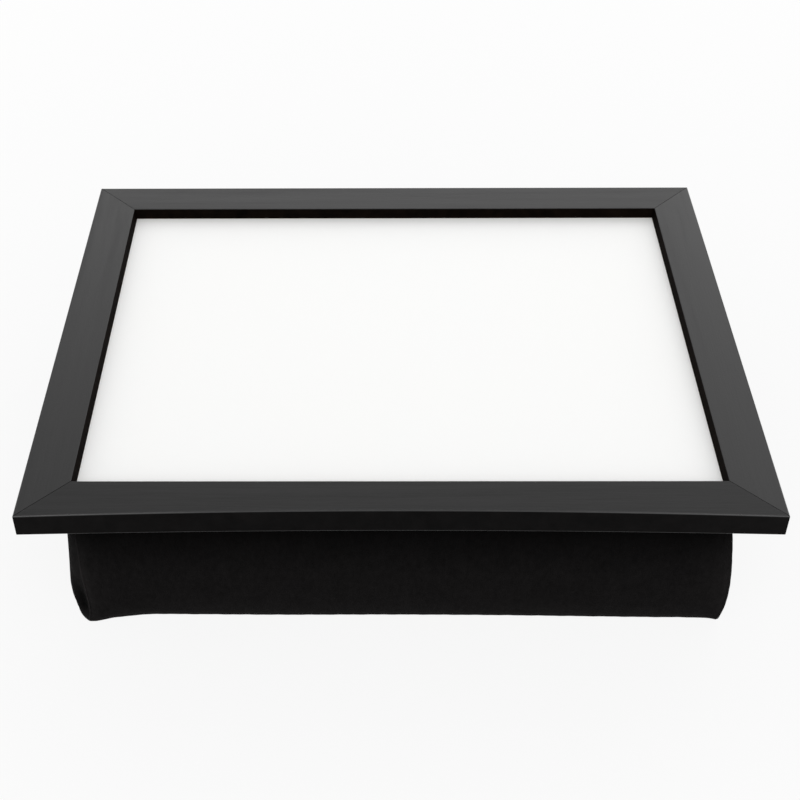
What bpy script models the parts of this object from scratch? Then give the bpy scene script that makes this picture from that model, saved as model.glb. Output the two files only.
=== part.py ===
"""Lap tray: a mitred picture-frame tray held on a bead cushion by hook and loop.

Lengths are in metres. The origin is on the floor under the middle of the tray, +X runs along the
long side, +Y to the back and +Z up. The frame is four mitred rails pinned at each corner by two
steel wedges, and the front one is hollowed along its outer face to sit close to a lap. Its rebate
holds a white laminate face, a panel board and a backing board, kept in by thin steel tabs. The
cushion is a sewn cover with a zip in its back wall and a bead liner inside.
"""

import math

import bmesh
import bpy
from mathutils import Matrix, Vector

# Fits shared by every piece
GAP = 0.0003
CUT_OVERRUN = 0.002
WELD_DISTANCE = 0.00001
FLAT_BELOW = math.radians(0.5)
ROUND_ABOVE = math.radians(32)

# Frame
FRAME_WIDTH = 0.460
FRAME_DEPTH = 0.360
RAIL_WIDTH = 0.030
REBATE_WIDTH = 0.007
PANEL_RECESS = 0.008
BACK_RECESS = 0.0028
ARRIS_RADIUS = 0.0008
ARRIS_STEPS = 3
RIM_HOLLOW = 0.0052
FOOT_HOLLOW = 0.0034
HOLLOW_SPANS = 12

# Boards held in the rebate
LAMINATE_THICKNESS = 0.0006
PANEL_THICKNESS = 0.0022
BACKING_THICKNESS = 0.0018

# Steel wedges pressed across each mitre from below
WEDGE_LEG = 0.005
WEDGE_THICKNESS = 0.0005
WEDGE_HEIGHT = 0.010
WEDGE_WEB_SHARES = (0.36, 0.78)

# Steel tabs that keep the boards in the rebate
TAB_LENGTH = 0.0145
TAB_WIDTH = 0.006
TAB_THICKNESS = 0.0006
TAB_GRIP = 0.0075
TAB_POINT = 0.002
LONG_RAIL_TAB_SHARES = (-0.62, 0, 0.62)
SHORT_RAIL_TAB_SHARES = (-0.5, 0.5)

# Hook and loop strips between the backing board and the cushion
STRIP_LENGTH = 0.100
STRIP_WIDTH = 0.020
STRIP_THICKNESS = 0.0015
STRIP_CORNER_RADIUS = 0.003
STRIP_END_INSET = 0.0167
STRIP_SIDE_INSET = 0.0217
STRIP_CORNER_STEPS = 3

# Cushion cover
CUSHION_HEIGHT = 0.0929
SIDE_OVERHANG = 0.029
FRONT_OVERHANG = 0.020
COVER_WALL = 0.0012
SIDE_BULGE = 0.014
FRONT_BULGE = 0.008
CORNER_EAR = 0.0055
SEAM_RISE = 0.003
FLOOR_CUT = 0.0005
SEAM_CREASE = 0.9
COLUMN_SHARES = (-0.92, -0.42, 0.42, 0.92)
LOW_ROW_SHARES = (0.25, 0.60)
BULGE_POWER = 24
EAR_POWER = 5
SIDE_BULGE_SHARES = (0.40, 0.82, 1.0, 0.82, 0.45, 0.20)
FRONT_BULGE_SHARES = (0.15, 0.75, 1.0, 0.85, 0.45, 0)
BACK_BULGE_SHARES = (0.15, 0.75, 1.0, 0, 0, 0)
FRONT_EAR_SHARES = (1.0, 0.95, 0.85, 0.60, 0.25, 0)
BACK_EAR_SHARES = (1.0, 0.95, 0.85, 0, 0, 0)

# Bead liner inside the cover
LINER_WALL = 0.0020
LINER_SIDE_GAP = 0.0045
LINER_TOP_GAP = 0.003
LINER_SEAM_RISE = 0.016
LINER_TOP_DROP = 0.012
LINER_COLUMN_SHARES = (-0.72, 0, 0.72)
LINER_ROW_SHARES = (0.30, 0.72)
LINER_SIDE_SHARES = (0, 0.85, 0.65, 0)
LINER_FRONT_SHARES = (0, 0.80, 0.55, 0)
LINER_BACK_SHARES = (0, 0.55, 0, 0)
FILL_SLIT_LENGTH = 0.060
FILL_SLIT_HEIGHT = 0.003

# Zip in the cover's back wall
ZIP_DROP = 0.0163
ZIP_END_MARGIN = 0.061
ZIP_BAND_MARGIN = 0.002
COIL_WIDTH = 0.0024
COIL_THICKNESS = 0.0022
COIL_SPINE = 0.0009
COIL_PARTING = 0.0014
TOOTH_PITCH = 0.0018
TOOTH_SHARE = 0.55
TOOTH_TIP_SHARE = 0.7
ZIP_TAPE_WIDTH = 0.012
ZIP_TAPE_THICKNESS = 0.0005
ZIP_TAPE_TAIL = 0.006
STOP_LENGTH = 0.003
STOP_STEP = 0.0010
STOP_ROUNDING = 0.0005

# Zip slider and its pull
SLIDER_LENGTH = 0.011
SLIDER_PLATE = 0.0010
SLIDER_FLANGE = 0.0006
SLIDER_NOSE_RADIUS = 0.0030
SLIDER_TAIL_RADIUS = 0.0014
SLIDER_ROUNDING = 0.0002
POST_LENGTH = 0.0035
POST_INSET = 0.0010
BRIDGE_WIDTH = 0.0020
BRIDGE_THICKNESS = 0.0008
BRIDGE_SPAN = 0.0044
BRIDGE_RADIUS = 0.0011
PULL_LENGTH = 0.026
PULL_THICKNESS = 0.0010
PULL_EYE_WIDTH = 0.0054
PULL_END_WIDTH = 0.0068
PULL_BAR = 0.0010
PULL_ROUNDING = 0.0002
PULL_SLOT_LENGTH = 0.0055
PULL_SLOT_WIDTH = 0.0024
PULL_END_ROUND_SHARE = 0.95
PULL_EYE_ROUND_SHARE = 0.5
PULL_SLOT_ROUND_SHARE = 0.45
ROUND_STEPS = 4

# Places that follow from the sizes above
HALF_WIDTH = FRAME_WIDTH / 2
HALF_DEPTH = FRAME_DEPTH / 2
WEB_WIDTH = RAIL_WIDTH - REBATE_WIDTH
STACK_THICKNESS = LAMINATE_THICKNESS + GAP + PANEL_THICKNESS + GAP + BACKING_THICKNESS
RAIL_HEIGHT = PANEL_RECESS + STACK_THICKNESS + BACK_RECESS
LAMINATE_TOP = RAIL_HEIGHT - PANEL_RECESS
PANEL_TOP = LAMINATE_TOP - LAMINATE_THICKNESS - GAP
BACKING_TOP = PANEL_TOP - PANEL_THICKNESS - GAP
BOARD_HALF_WIDTH = HALF_WIDTH - WEB_WIDTH - GAP
BOARD_HALF_DEPTH = HALF_DEPTH - WEB_WIDTH - GAP
TAB_TOP = BACK_RECESS - GAP
HOOK_TOP = BACK_RECESS - GAP
LOOP_BASE = CUSHION_HEIGHT + GAP
HOOK_BASE = LOOP_BASE + STRIP_THICKNESS + GAP
RAIL_BASE = HOOK_BASE + STRIP_THICKNESS - HOOK_TOP

SEAM_HALF_WIDTH = HALF_WIDTH - SIDE_OVERHANG
SEAM_HALF_DEPTH = HALF_DEPTH - FRONT_OVERHANG

ZIP_HEIGHT = CUSHION_HEIGHT - ZIP_DROP
ZIP_HALF_LENGTH = SEAM_HALF_WIDTH - ZIP_END_MARGIN
ZIP_TAPE_REACH = COIL_PARTING / 2 + ZIP_TAPE_WIDTH
COIL_REACH = COIL_PARTING / 2 + COIL_WIDTH
ZIP_TAPE_TOP = -COVER_WALL - GAP
ZIP_TAPE_BASE = ZIP_TAPE_TOP - ZIP_TAPE_THICKNESS
COIL_BASE = ZIP_TAPE_TOP + GAP
COIL_TOP = COIL_BASE + COIL_THICKNESS
CHANNEL_BASE = ZIP_TAPE_BASE - GAP
CHANNEL_TOP = COIL_TOP + GAP
CHANNEL_REACH = COIL_REACH + GAP
SLIDER_BASE = CHANNEL_BASE - SLIDER_PLATE
SLIDER_TOP = CHANNEL_TOP + SLIDER_PLATE
SLIDER_REACH = CHANNEL_REACH + SLIDER_FLANGE
SLOT_REACH = SLIDER_REACH + GAP
SLIDER_REST = ZIP_HALF_LENGTH - SLIDER_LENGTH / 2
PIVOT_SWEEP = math.hypot(PULL_BAR, PULL_THICKNESS) / 2 + GAP
PIVOT_HEIGHT = SLIDER_TOP + PIVOT_SWEEP
BRIDGE_INSIDE = PIVOT_HEIGHT + PIVOT_SWEEP
BRIDGE_TOP = BRIDGE_INSIDE + BRIDGE_THICKNESS
BRIDGE_HALF_LENGTH = BRIDGE_SPAN / 2 + BRIDGE_THICKNESS

# Colours and surfaces: colour, roughness, metallic
BLACK_LACQUER = ((0.030, 0.030, 0.031), 0.38, 0.0)
WHITE_MELAMINE = ((0.90, 0.90, 0.89), 0.42, 0.0)
FIBREBOARD = ((0.36, 0.23, 0.13), 0.80, 0.0)
HARDBOARD = ((0.20, 0.12, 0.065), 0.75, 0.0)
STEEL = ((0.55, 0.55, 0.56), 0.35, 1.0)
BLACK_CLOTH = ((0.012, 0.011, 0.011), 0.95, 0.0)
BLACK_TAPE = ((0.010, 0.010, 0.010), 0.90, 0.0)
LINER_CLOTH = ((0.62, 0.61, 0.58), 0.90, 0.0)
BLACK_NYLON = ((0.014, 0.014, 0.014), 0.45, 0.0)
BLACK_ENAMEL = ((0.020, 0.020, 0.020), 0.30, 0.6)


def clear_scene():
    for obj in list(bpy.data.objects):
        bpy.data.objects.remove(obj, do_unlink=True)


def collection_named(name):
    found = bpy.data.collections.new(name)
    bpy.context.scene.collection.children.link(found)
    return found


def give_material(obj, surface):
    """Gives the object its own Principled BSDF."""
    colour, roughness, metallic = surface
    material = bpy.data.materials.new(obj.name)
    material.use_nodes = True
    shader = material.node_tree.nodes["Principled BSDF"]
    shader.inputs["Base Color"].default_value = (*colour, 1)
    shader.inputs["Roughness"].default_value = roughness
    shader.inputs["Metallic"].default_value = metallic
    obj.data.materials.append(material)


def object_from(name, mesh, collection, parent=None):
    obj = bpy.data.objects.new(name, mesh)
    collection.objects.link(obj)
    obj.parent = parent
    return obj


def empty_at(name, location, rotation, collection):
    empty = bpy.data.objects.new(name, None)
    empty.location = location
    empty.rotation_euler = rotation
    empty.empty_display_size = RAIL_WIDTH
    collection.objects.link(empty)
    return empty


def as_cutter(obj):
    obj.hide_render = True
    obj.display_type = "WIRE"
    return obj


def cut(obj, cutter):
    boolean = obj.modifiers.new("cut_" + cutter.name, "BOOLEAN")
    boolean.operation = "DIFFERENCE"
    boolean.object = cutter


def round_edges(obj, width, segments=2):
    bevel = obj.modifiers.new("rounded_edges", "BEVEL")
    bevel.width = width
    bevel.segments = segments
    bevel.limit_method = "ANGLE"
    bevel.angle_limit = ROUND_ABOVE


def slice_at(work, place, normal, clear_outer=False):
    """Cuts the mesh along a plane, and clears what is in front of it if that is asked."""
    bmesh.ops.bisect_plane(
        work,
        geom=work.verts[:] + work.edges[:] + work.faces[:],
        plane_co=place,
        plane_no=normal,
        dist=WELD_DISTANCE,
        clear_outer=clear_outer,
    )


def rounded_outline(corners, steps):
    """The points of a closed outline whose corners, each (x, y, radius), are arcs."""
    points = []
    for index, (x, y, radius) in enumerate(corners):
        here = Vector((x, y))
        if not radius:
            points.append(here)
            continue
        before = (Vector(corners[index - 1][:2]) - here).normalized()
        after = (Vector(corners[(index + 1) % len(corners)][:2]) - here).normalized()
        half_angle = before.angle(after) / 2
        centre = here + (before + after).normalized() * radius / math.sin(half_angle)
        start = here + before * radius / math.tan(half_angle) - centre
        turn = (2 * half_angle - math.pi) * math.copysign(1, before.cross(after))
        for step in range(steps + 1):
            points.append(centre + Matrix.Rotation(turn * step / steps, 2) @ start)
    return points


def outline_mesh(name, outlines, low, high):
    """The solid between two heights of flat closed outlines. An outline inside another is a hole."""
    curve = bpy.data.curves.new(name, "CURVE")
    curve.dimensions = "2D"
    curve.fill_mode = "BOTH"
    curve.extrude = (high - low) / 2
    for points in outlines:
        spline = curve.splines.new("POLY")
        spline.points.add(len(points) - 1)
        for knot, point in zip(spline.points, points):
            knot.co = (point[0], point[1], 0, 1)
        spline.use_cyclic_u = True
    flat = bpy.data.objects.new(name, curve)
    bpy.context.scene.collection.objects.link(flat)
    evaluated = flat.evaluated_get(bpy.context.evaluated_depsgraph_get())
    mesh = bpy.data.meshes.new_from_object(evaluated)
    bpy.data.objects.remove(flat)
    bpy.data.curves.remove(curve)
    work = bmesh.new()
    work.from_mesh(mesh)
    bmesh.ops.remove_doubles(work, verts=work.verts, dist=WELD_DISTANCE)
    bmesh.ops.dissolve_limit(
        work, angle_limit=FLAT_BELOW, verts=work.verts[:], edges=work.edges[:]
    )
    bmesh.ops.translate(work, verts=work.verts, vec=(0, 0, (low + high) / 2))
    bmesh.ops.recalc_face_normals(work, faces=work.faces)
    work.to_mesh(mesh)
    work.free()
    mesh.name = name
    mesh.shade_flat()
    return mesh


def box_mesh(name, low, high):
    """A box between two opposite corners."""
    low, high = Vector(low), Vector(high)
    work = bmesh.new()
    bmesh.ops.create_cube(work, size=1)
    bmesh.ops.scale(work, verts=work.verts, vec=high - low)
    bmesh.ops.translate(work, verts=work.verts, vec=(low + high) / 2)
    mesh = bpy.data.meshes.new(name)
    work.to_mesh(mesh)
    work.free()
    return mesh


def rectangle(low_x, low_y, high_x, high_y, radius=0):
    return [
        (low_x, low_y, radius),
        (high_x, low_y, radius),
        (high_x, high_y, radius),
        (low_x, high_y, radius),
    ]


def rail_section():
    """The rail's section: x from its outer edge inwards, y up from its underside."""
    lip_underside = LAMINATE_TOP + GAP
    corners = [
        (0, 0, ARRIS_RADIUS),
        (WEB_WIDTH, 0, 0),
        (WEB_WIDTH, lip_underside, 0),
        (RAIL_WIDTH, lip_underside, 0),
        (RAIL_WIDTH, RAIL_HEIGHT, ARRIS_RADIUS),
        (0, RAIL_HEIGHT, ARRIS_RADIUS),
    ]
    return rounded_outline(corners, ARRIS_STEPS)


def hollow_outer_face(work, length, foot_hollow, rim_hollow):
    """Draws a rail's outer face in along a shallow arc that dies out at both ends."""
    for number in range(1, HOLLOW_SPANS):
        slice_at(work, (0, 0, length * (number / HOLLOW_SPANS - 1 / 2)), (0, 0, 1))
    for vert in work.verts:
        if vert.co.x < ARRIS_RADIUS + WELD_DISTANCE:
            depth = foot_hollow + (rim_hollow - foot_hollow) * vert.co.y / RAIL_HEIGHT
            vert.co.x += depth * (1 - (2 * vert.co.z / length) ** 2)


def rail_mesh(name, length, hollow):
    """A rail along Z, its ends mitred, with half of the gap taken off each mitre.

    hollow is how far the outer face is drawn in midway along its underside and its rim.
    """
    mesh = outline_mesh(name, [rail_section()], -length / 2, length / 2)
    work = bmesh.new()
    work.from_mesh(mesh)
    if any(hollow):
        hollow_outer_face(work, length, *hollow)
    for end in (-1, 1):
        slice_at(work, (-GAP / math.sqrt(2), 0, end * length / 2), (1, 0, end), clear_outer=True)
        bmesh.ops.holes_fill(work, edges=[edge for edge in work.edges if edge.is_boundary])
    bmesh.ops.recalc_face_normals(work, faces=work.faces)
    work.to_mesh(mesh)
    work.free()
    return mesh


def wedge_outline(side, depth, distance, growth):
    """An L whose corner lies on the mitre, with one leg in each rail, grown all round."""
    near = distance - growth
    inner = distance + WEDGE_THICKNESS + growth
    far = distance + WEDGE_LEG + growth
    corner = [(near, near), (far, near), (far, inner), (inner, inner), (inner, far), (near, far)]
    return [(side * (HALF_WIDTH - x), depth * (HALF_DEPTH - y)) for x, y in corner]


def wedge_places():
    """Each wedge's name, the signs of its corner and its distance in from both outer edges."""
    for side_name, side in (("left", -1), ("right", 1)):
        for depth_name, depth in (("front", -1), ("back", 1)):
            for place_name, share in zip(("outer", "inner"), WEDGE_WEB_SHARES):
                name = f"corner_wedge_{depth_name}_{side_name}_{place_name}"
                yield name, side, depth, share * WEB_WIDTH


def tab_places():
    """Each tab's name, its place on the rebate wall and its turn about Z."""
    wall_x = HALF_WIDTH - WEB_WIDTH
    wall_y = HALF_DEPTH - WEB_WIDTH
    for number, share in enumerate(LONG_RAIL_TAB_SHARES, 1):
        yield f"tab_front_{number}", (share * wall_x, -wall_y), 0
        yield f"tab_back_{number}", (share * wall_x, wall_y), math.pi
    for number, share in enumerate(SHORT_RAIL_TAB_SHARES, 1):
        yield f"tab_right_{number}", (wall_x, share * wall_y), math.pi / 2
        yield f"tab_left_{number}", (-wall_x, share * wall_y), -math.pi / 2


def tab_outline():
    """A tab lying across the rebate wall at y 0, its point in the rail on the side of -Y."""
    half = TAB_WIDTH / 2
    return [
        (0, -TAB_GRIP),
        (half, TAB_POINT - TAB_GRIP),
        (half, TAB_LENGTH - TAB_GRIP),
        (-half, TAB_LENGTH - TAB_GRIP),
        (-half, TAB_POINT - TAB_GRIP),
    ]


def pocket_outline(place, turn):
    """The rectangle of the pocket that a tab is driven into, a gap wider all round."""
    half = TAB_WIDTH / 2 + GAP
    corners = [
        (-half, -TAB_GRIP - GAP),
        (half, -TAB_GRIP - GAP),
        (half, CUT_OVERRUN),
        (-half, CUT_OVERRUN),
    ]
    turned = Matrix.Rotation(turn, 2)
    return [Vector(place) + turned @ Vector(corner) for corner in corners]


def build_frame(parts, cutters, tray):
    slots = [
        wedge_outline(side, depth, distance, GAP)
        for name, side, depth, distance in wedge_places()
    ]
    slot_mesh = outline_mesh("wedge_slots", slots, -CUT_OVERRUN, WEDGE_HEIGHT + 2 * GAP)
    wedge_slots = as_cutter(object_from("wedge_slots", slot_mesh, cutters, tray))
    pockets = [pocket_outline(place, turn) for name, place, turn in tab_places()]
    pocket_mesh = outline_mesh(
        "tab_pockets", pockets, TAB_TOP - TAB_THICKNESS - GAP, TAB_TOP + GAP
    )
    tab_pockets = as_cutter(object_from("tab_pockets", pocket_mesh, cutters, tray))
    rails = (
        ("rail_front", FRAME_WIDTH, HALF_DEPTH, 0, (FOOT_HOLLOW, RIM_HOLLOW)),
        ("rail_right", FRAME_DEPTH, HALF_WIDTH, 1, (0, 0)),
        ("rail_back", FRAME_WIDTH, HALF_DEPTH, 2, (0, 0)),
        ("rail_left", FRAME_DEPTH, HALF_WIDTH, 3, (0, 0)),
    )
    for name, length, reach, quarter, hollow in rails:
        rail = object_from(name, rail_mesh(name, length, hollow), parts, tray)
        turn = quarter * math.pi / 2
        rail.rotation_euler = (math.pi / 2, 0, math.pi / 2 + turn)
        rail.location = (reach * math.sin(turn), -reach * math.cos(turn), 0)
        give_material(rail, BLACK_LACQUER)
        cut(rail, wedge_slots)
        cut(rail, tab_pockets)
    for name, side, depth, distance in wedge_places():
        outline = wedge_outline(side, depth, distance, 0)
        mesh = outline_mesh(name, [outline], GAP, GAP + WEDGE_HEIGHT)
        give_material(object_from(name, mesh, parts, tray), STEEL)
    for name, place, turn in tab_places():
        mesh = outline_mesh(name, [tab_outline()], -TAB_THICKNESS, 0)
        tab = object_from(name, mesh, parts, tray)
        tab.location = (*place, TAB_TOP)
        tab.rotation_euler = (0, 0, turn)
        give_material(tab, STEEL)


def build_boards(parts, tray):
    boards = (
        ("laminate_face", LAMINATE_TOP, LAMINATE_THICKNESS, WHITE_MELAMINE),
        ("panel_board", PANEL_TOP, PANEL_THICKNESS, FIBREBOARD),
        ("backing_board", BACKING_TOP, BACKING_THICKNESS, HARDBOARD),
    )
    for name, top, thickness, surface in boards:
        low = (-BOARD_HALF_WIDTH, -BOARD_HALF_DEPTH, top - thickness)
        high = (BOARD_HALF_WIDTH, BOARD_HALF_DEPTH, top)
        give_material(object_from(name, box_mesh(name, low, high), parts, tray), surface)


def build_strips(parts, tray):
    """Hook strips under the backing board, each over a loop strip sewn to the cushion."""
    centre_x = BOARD_HALF_WIDTH - STRIP_END_INSET - STRIP_LENGTH / 2
    centre_y = BOARD_HALF_DEPTH - STRIP_SIDE_INSET - STRIP_WIDTH / 2
    half_length = STRIP_LENGTH / 2
    half_width = STRIP_WIDTH / 2
    corners = rectangle(-half_length, -half_width, half_length, half_width, STRIP_CORNER_RADIUS)
    outline = rounded_outline(corners, STRIP_CORNER_STEPS)
    for side_name, side in (("left", -1), ("right", 1)):
        for depth_name, depth in (("front", -1), ("back", 1)):
            place = (side * centre_x, depth * centre_y)
            name = f"hook_strip_{depth_name}_{side_name}"
            mesh = outline_mesh(name, [outline], -STRIP_THICKNESS, 0)
            hook = object_from(name, mesh, parts, tray)
            hook.location = (*place, HOOK_TOP)
            give_material(hook, BLACK_TAPE)
            name = f"loop_strip_{depth_name}_{side_name}"
            mesh = outline_mesh(name, [outline], 0, STRIP_THICKNESS)
            loop = object_from(name, mesh, parts)
            loop.location = (*place, LOOP_BASE)
            give_material(loop, BLACK_TAPE)


def sides_touched(co):
    """The sides of the sliced cube that a point lies on, as (axis, place)."""
    sides = ((0, -1), (0, 1), (1, -1), (1, 1), (2, 0), (2, 1))
    return {side for side in sides if math.isclose(co[side[0]], side[1], abs_tol=WELD_DISTANCE)}


def sliced_cube(column_shares, row_count, crease):
    """A cube from -1 to 1 across and 0 to 1 up, cut into columns and even rows, its seams creased."""
    work = bmesh.new()
    bmesh.ops.create_cube(work, size=2)
    bmesh.ops.translate(work, verts=work.verts, vec=(0, 0, 1))
    bmesh.ops.scale(work, verts=work.verts, vec=(1, 1, 1 / 2))
    slices = [(axis, share) for axis in (0, 1) for share in column_shares]
    slices += [(2, row / row_count) for row in range(1, row_count)]
    for axis, share in slices:
        normal = Vector((0, 0, 0))
        normal[axis] = 1
        slice_at(work, normal * share, normal)
    layer = work.edges.layers.float.new("crease_edge")
    for face in work.faces:
        face.smooth = True
    for edge in work.edges:
        first, second = (sides_touched(vert.co) for vert in edge.verts)
        if len(first & second) == 2:
            edge[layer] = crease
            edge.smooth = not crease
    return work


def pillow_mesh(name, work, seam, rows, middles, swells):
    """Makes a sliced cube a pillow's cage and frees the cube.

    seam is half of the width and depth from corner to corner. rows are the heights of the walls'
    rows and middles those of the bottom and top panels inside their seams. swells holds for each
    row how far the sides, front and back swell and how far the front and back corners reach out.
    """
    last = len(rows) - 1
    bottom, top = middles
    for vert in work.verts:
        sides = sides_touched(vert.co)
        row = round(vert.co.z * last)
        u, v = vert.co.x, vert.co.y
        side, front, back, front_ear, back_ear = swells[row]
        swell, ear = (front, front_ear) if v < 0 else (back, back_ear)
        x, y, z = u * seam[0], v * seam[1], rows[row]
        if sides & {(0, -1), (0, 1)}:
            x += math.copysign(side * (1 - abs(v) ** BULGE_POWER), u)
            y += math.copysign(ear * abs(v) ** EAR_POWER, v)
        elif sides & {(1, -1), (1, 1)}:
            y += math.copysign(swell * (1 - abs(u) ** BULGE_POWER) + ear * abs(u) ** EAR_POWER, v)
        else:
            z = top if row else bottom
        vert.co = (x, y, z)
    mesh = bpy.data.meshes.new(name)
    work.to_mesh(mesh)
    work.free()
    return mesh


def sewn_shell(obj, wall):
    """Smooths a pillow's cage once and gives it its wall, inwards."""
    smooth = obj.modifiers.new("stuffed_form", "SUBSURF")
    smooth.levels = 1
    smooth.render_levels = 1
    shell = obj.modifiers.new("wall", "SOLIDIFY")
    shell.thickness = wall
    shell.offset = -1
    shell.use_even_offset = True


def cover_rows():
    """The cover's row heights. From the band's foot up the back wall is flat, and the zip lies there."""
    band_foot = ZIP_HEIGHT - ZIP_TAPE_REACH - ZIP_BAND_MARGIN
    upper = (band_foot + CUSHION_HEIGHT) / 2
    lower = 2 * band_foot - upper
    return [SEAM_RISE, *(share * lower for share in LOW_ROW_SHARES), lower, upper, CUSHION_HEIGHT]


def build_cover(parts, cutters):
    rows = cover_rows()
    cube = sliced_cube(COLUMN_SHARES, len(rows) - 1, SEAM_CREASE)
    share_rows = zip(
        SIDE_BULGE_SHARES, FRONT_BULGE_SHARES, BACK_BULGE_SHARES, FRONT_EAR_SHARES, BACK_EAR_SHARES
    )
    swells = [
        (side * SIDE_BULGE, front * FRONT_BULGE, back * FRONT_BULGE, ear * CORNER_EAR, heel * CORNER_EAR)
        for side, front, back, ear, heel in share_rows
    ]
    seam = (SEAM_HALF_WIDTH, SEAM_HALF_DEPTH)
    middles = (-FLOOR_CUT, CUSHION_HEIGHT)
    mesh = pillow_mesh("cushion_cover", cube, seam, rows, middles, swells)
    cover = object_from("cushion_cover", mesh, parts)
    give_material(cover, BLACK_CLOTH)
    sewn_shell(cover, COVER_WALL)
    floor_mesh = box_mesh(
        "floor_cut", (-HALF_WIDTH, -HALF_DEPTH, -CUSHION_HEIGHT), (HALF_WIDTH, HALF_DEPTH, 0)
    )
    cut(cover, as_cutter(object_from("floor_cut", floor_mesh, cutters)))
    slot_half = ZIP_HALF_LENGTH + GAP + STOP_LENGTH + GAP
    slot_mesh = box_mesh(
        "zip_slot",
        (-slot_half, SEAM_HALF_DEPTH - COVER_WALL - CUT_OVERRUN, ZIP_HEIGHT - SLOT_REACH),
        (slot_half, SEAM_HALF_DEPTH + CUT_OVERRUN, ZIP_HEIGHT + SLOT_REACH),
    )
    cut(cover, as_cutter(object_from("zip_slot", slot_mesh, cutters)))


def build_liner(parts, cutters):
    """The bead liner: a rounder bag that stands on the cover's floor, clear of the zip."""
    base = COVER_WALL - FLOOR_CUT + GAP
    top = CUSHION_HEIGHT - COVER_WALL - LINER_TOP_GAP
    walls = [base + share * (top - base) for share in LINER_ROW_SHARES]
    rows = [base + LINER_SEAM_RISE, *walls, top - LINER_TOP_DROP]
    cube = sliced_cube(LINER_COLUMN_SHARES, len(rows) - 1, 0)
    swells = [
        (side * SIDE_BULGE, front * FRONT_BULGE, back * FRONT_BULGE, 0, 0)
        for side, front, back in zip(LINER_SIDE_SHARES, LINER_FRONT_SHARES, LINER_BACK_SHARES)
    ]
    seam = (SEAM_HALF_WIDTH - LINER_SIDE_GAP, SEAM_HALF_DEPTH + SLIDER_BASE - GAP)
    mesh = pillow_mesh("bead_liner", cube, seam, rows, (base, top), swells)
    liner = object_from("bead_liner", mesh, parts)
    give_material(liner, LINER_CLOTH)
    sewn_shell(liner, LINER_WALL)
    half_length = FILL_SLIT_LENGTH / 2
    half_height = FILL_SLIT_HEIGHT / 2
    slit_mesh = box_mesh(
        "fill_slit",
        (-half_length, 0, ZIP_HEIGHT - half_height),
        (half_length, HALF_DEPTH, ZIP_HEIGHT + half_height),
    )
    cut(liner, as_cutter(object_from("fill_slit", slit_mesh, cutters)))


def coil_mesh(name, side):
    """A coil as a comb: a spine with teeth towards the other coil's, and halfway between them."""
    root, back = side * (COIL_REACH - COIL_SPINE), side * COIL_REACH
    low = (-ZIP_HALF_LENGTH, min(root, back), COIL_BASE)
    high = (ZIP_HALF_LENGTH, max(root, back), COIL_TOP)
    mesh = box_mesh(name, low, high)
    work = bmesh.new()
    work.from_mesh(mesh)
    teeth = math.floor(2 * ZIP_HALF_LENGTH / TOOTH_PITCH) - 1
    half_tooth = TOOTH_PITCH * TOOTH_SHARE / 2
    for tooth in range(teeth):
        middle = (tooth + (1 - teeth) / 2 + side / 4) * TOOTH_PITCH
        slice_at(work, (middle - half_tooth, 0, 0), (1, 0, 0))
        slice_at(work, (middle + half_tooth, 0, 0), (1, 0, 0))
    work.normal_update()
    front = [face for face in work.faces if face.normal.y * side < 0 and abs(face.normal.x) < 1 / 2]
    front.sort(key=lambda face: face.calc_center_median().x)
    tips = bmesh.ops.extrude_discrete_faces(work, faces=front[1::2])["faces"]
    for tip in tips:
        middle = tip.calc_center_median()
        for vert in tip.verts:
            vert.co = middle + (vert.co - middle) * TOOTH_TIP_SHARE
            vert.co.y = side * COIL_PARTING / 2
    work.to_mesh(mesh)
    work.free()
    return mesh


def build_zip_tapes(parts, zip_line):
    """In the zip's own frame X runs to its closed end, Y up the wall and Z out of it."""
    tape_half = ZIP_HALF_LENGTH + ZIP_TAPE_TAIL
    for name, side in (("upper", 1), ("lower", -1)):
        low_y, high_y = sorted((side * COIL_PARTING / 2, side * ZIP_TAPE_REACH))
        low = (-tape_half, low_y, ZIP_TAPE_BASE)
        high = (tape_half, high_y, ZIP_TAPE_TOP)
        tape_mesh = box_mesh(f"zip_tape_{name}", low, high)
        give_material(object_from(f"zip_tape_{name}", tape_mesh, parts, zip_line), BLACK_TAPE)
        coil = object_from(f"zip_coil_{name}", coil_mesh(f"zip_coil_{name}", side), parts, zip_line)
        give_material(coil, BLACK_NYLON)
        low_y, high_y = sorted((side * COIL_PARTING / 2, side * COIL_REACH))
        start = ZIP_HALF_LENGTH + GAP
        low = (start, low_y, COIL_BASE)
        high = (start + STOP_LENGTH, high_y, COIL_TOP + STOP_STEP)
        stop_mesh = box_mesh(f"zip_top_stop_{name}", low, high)
        stop = object_from(f"zip_top_stop_{name}", stop_mesh, parts, zip_line)
        give_material(stop, BLACK_ENAMEL)
        round_edges(stop, STOP_ROUNDING)
    end = -ZIP_HALF_LENGTH - GAP
    low = (end - STOP_LENGTH, -COIL_REACH, COIL_BASE)
    high = (end, COIL_REACH, COIL_TOP + STOP_STEP)
    stop = object_from("zip_bottom_stop", box_mesh("zip_bottom_stop", low, high), parts, zip_line)
    give_material(stop, BLACK_ENAMEL)
    round_edges(stop, STOP_ROUNDING)


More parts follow.
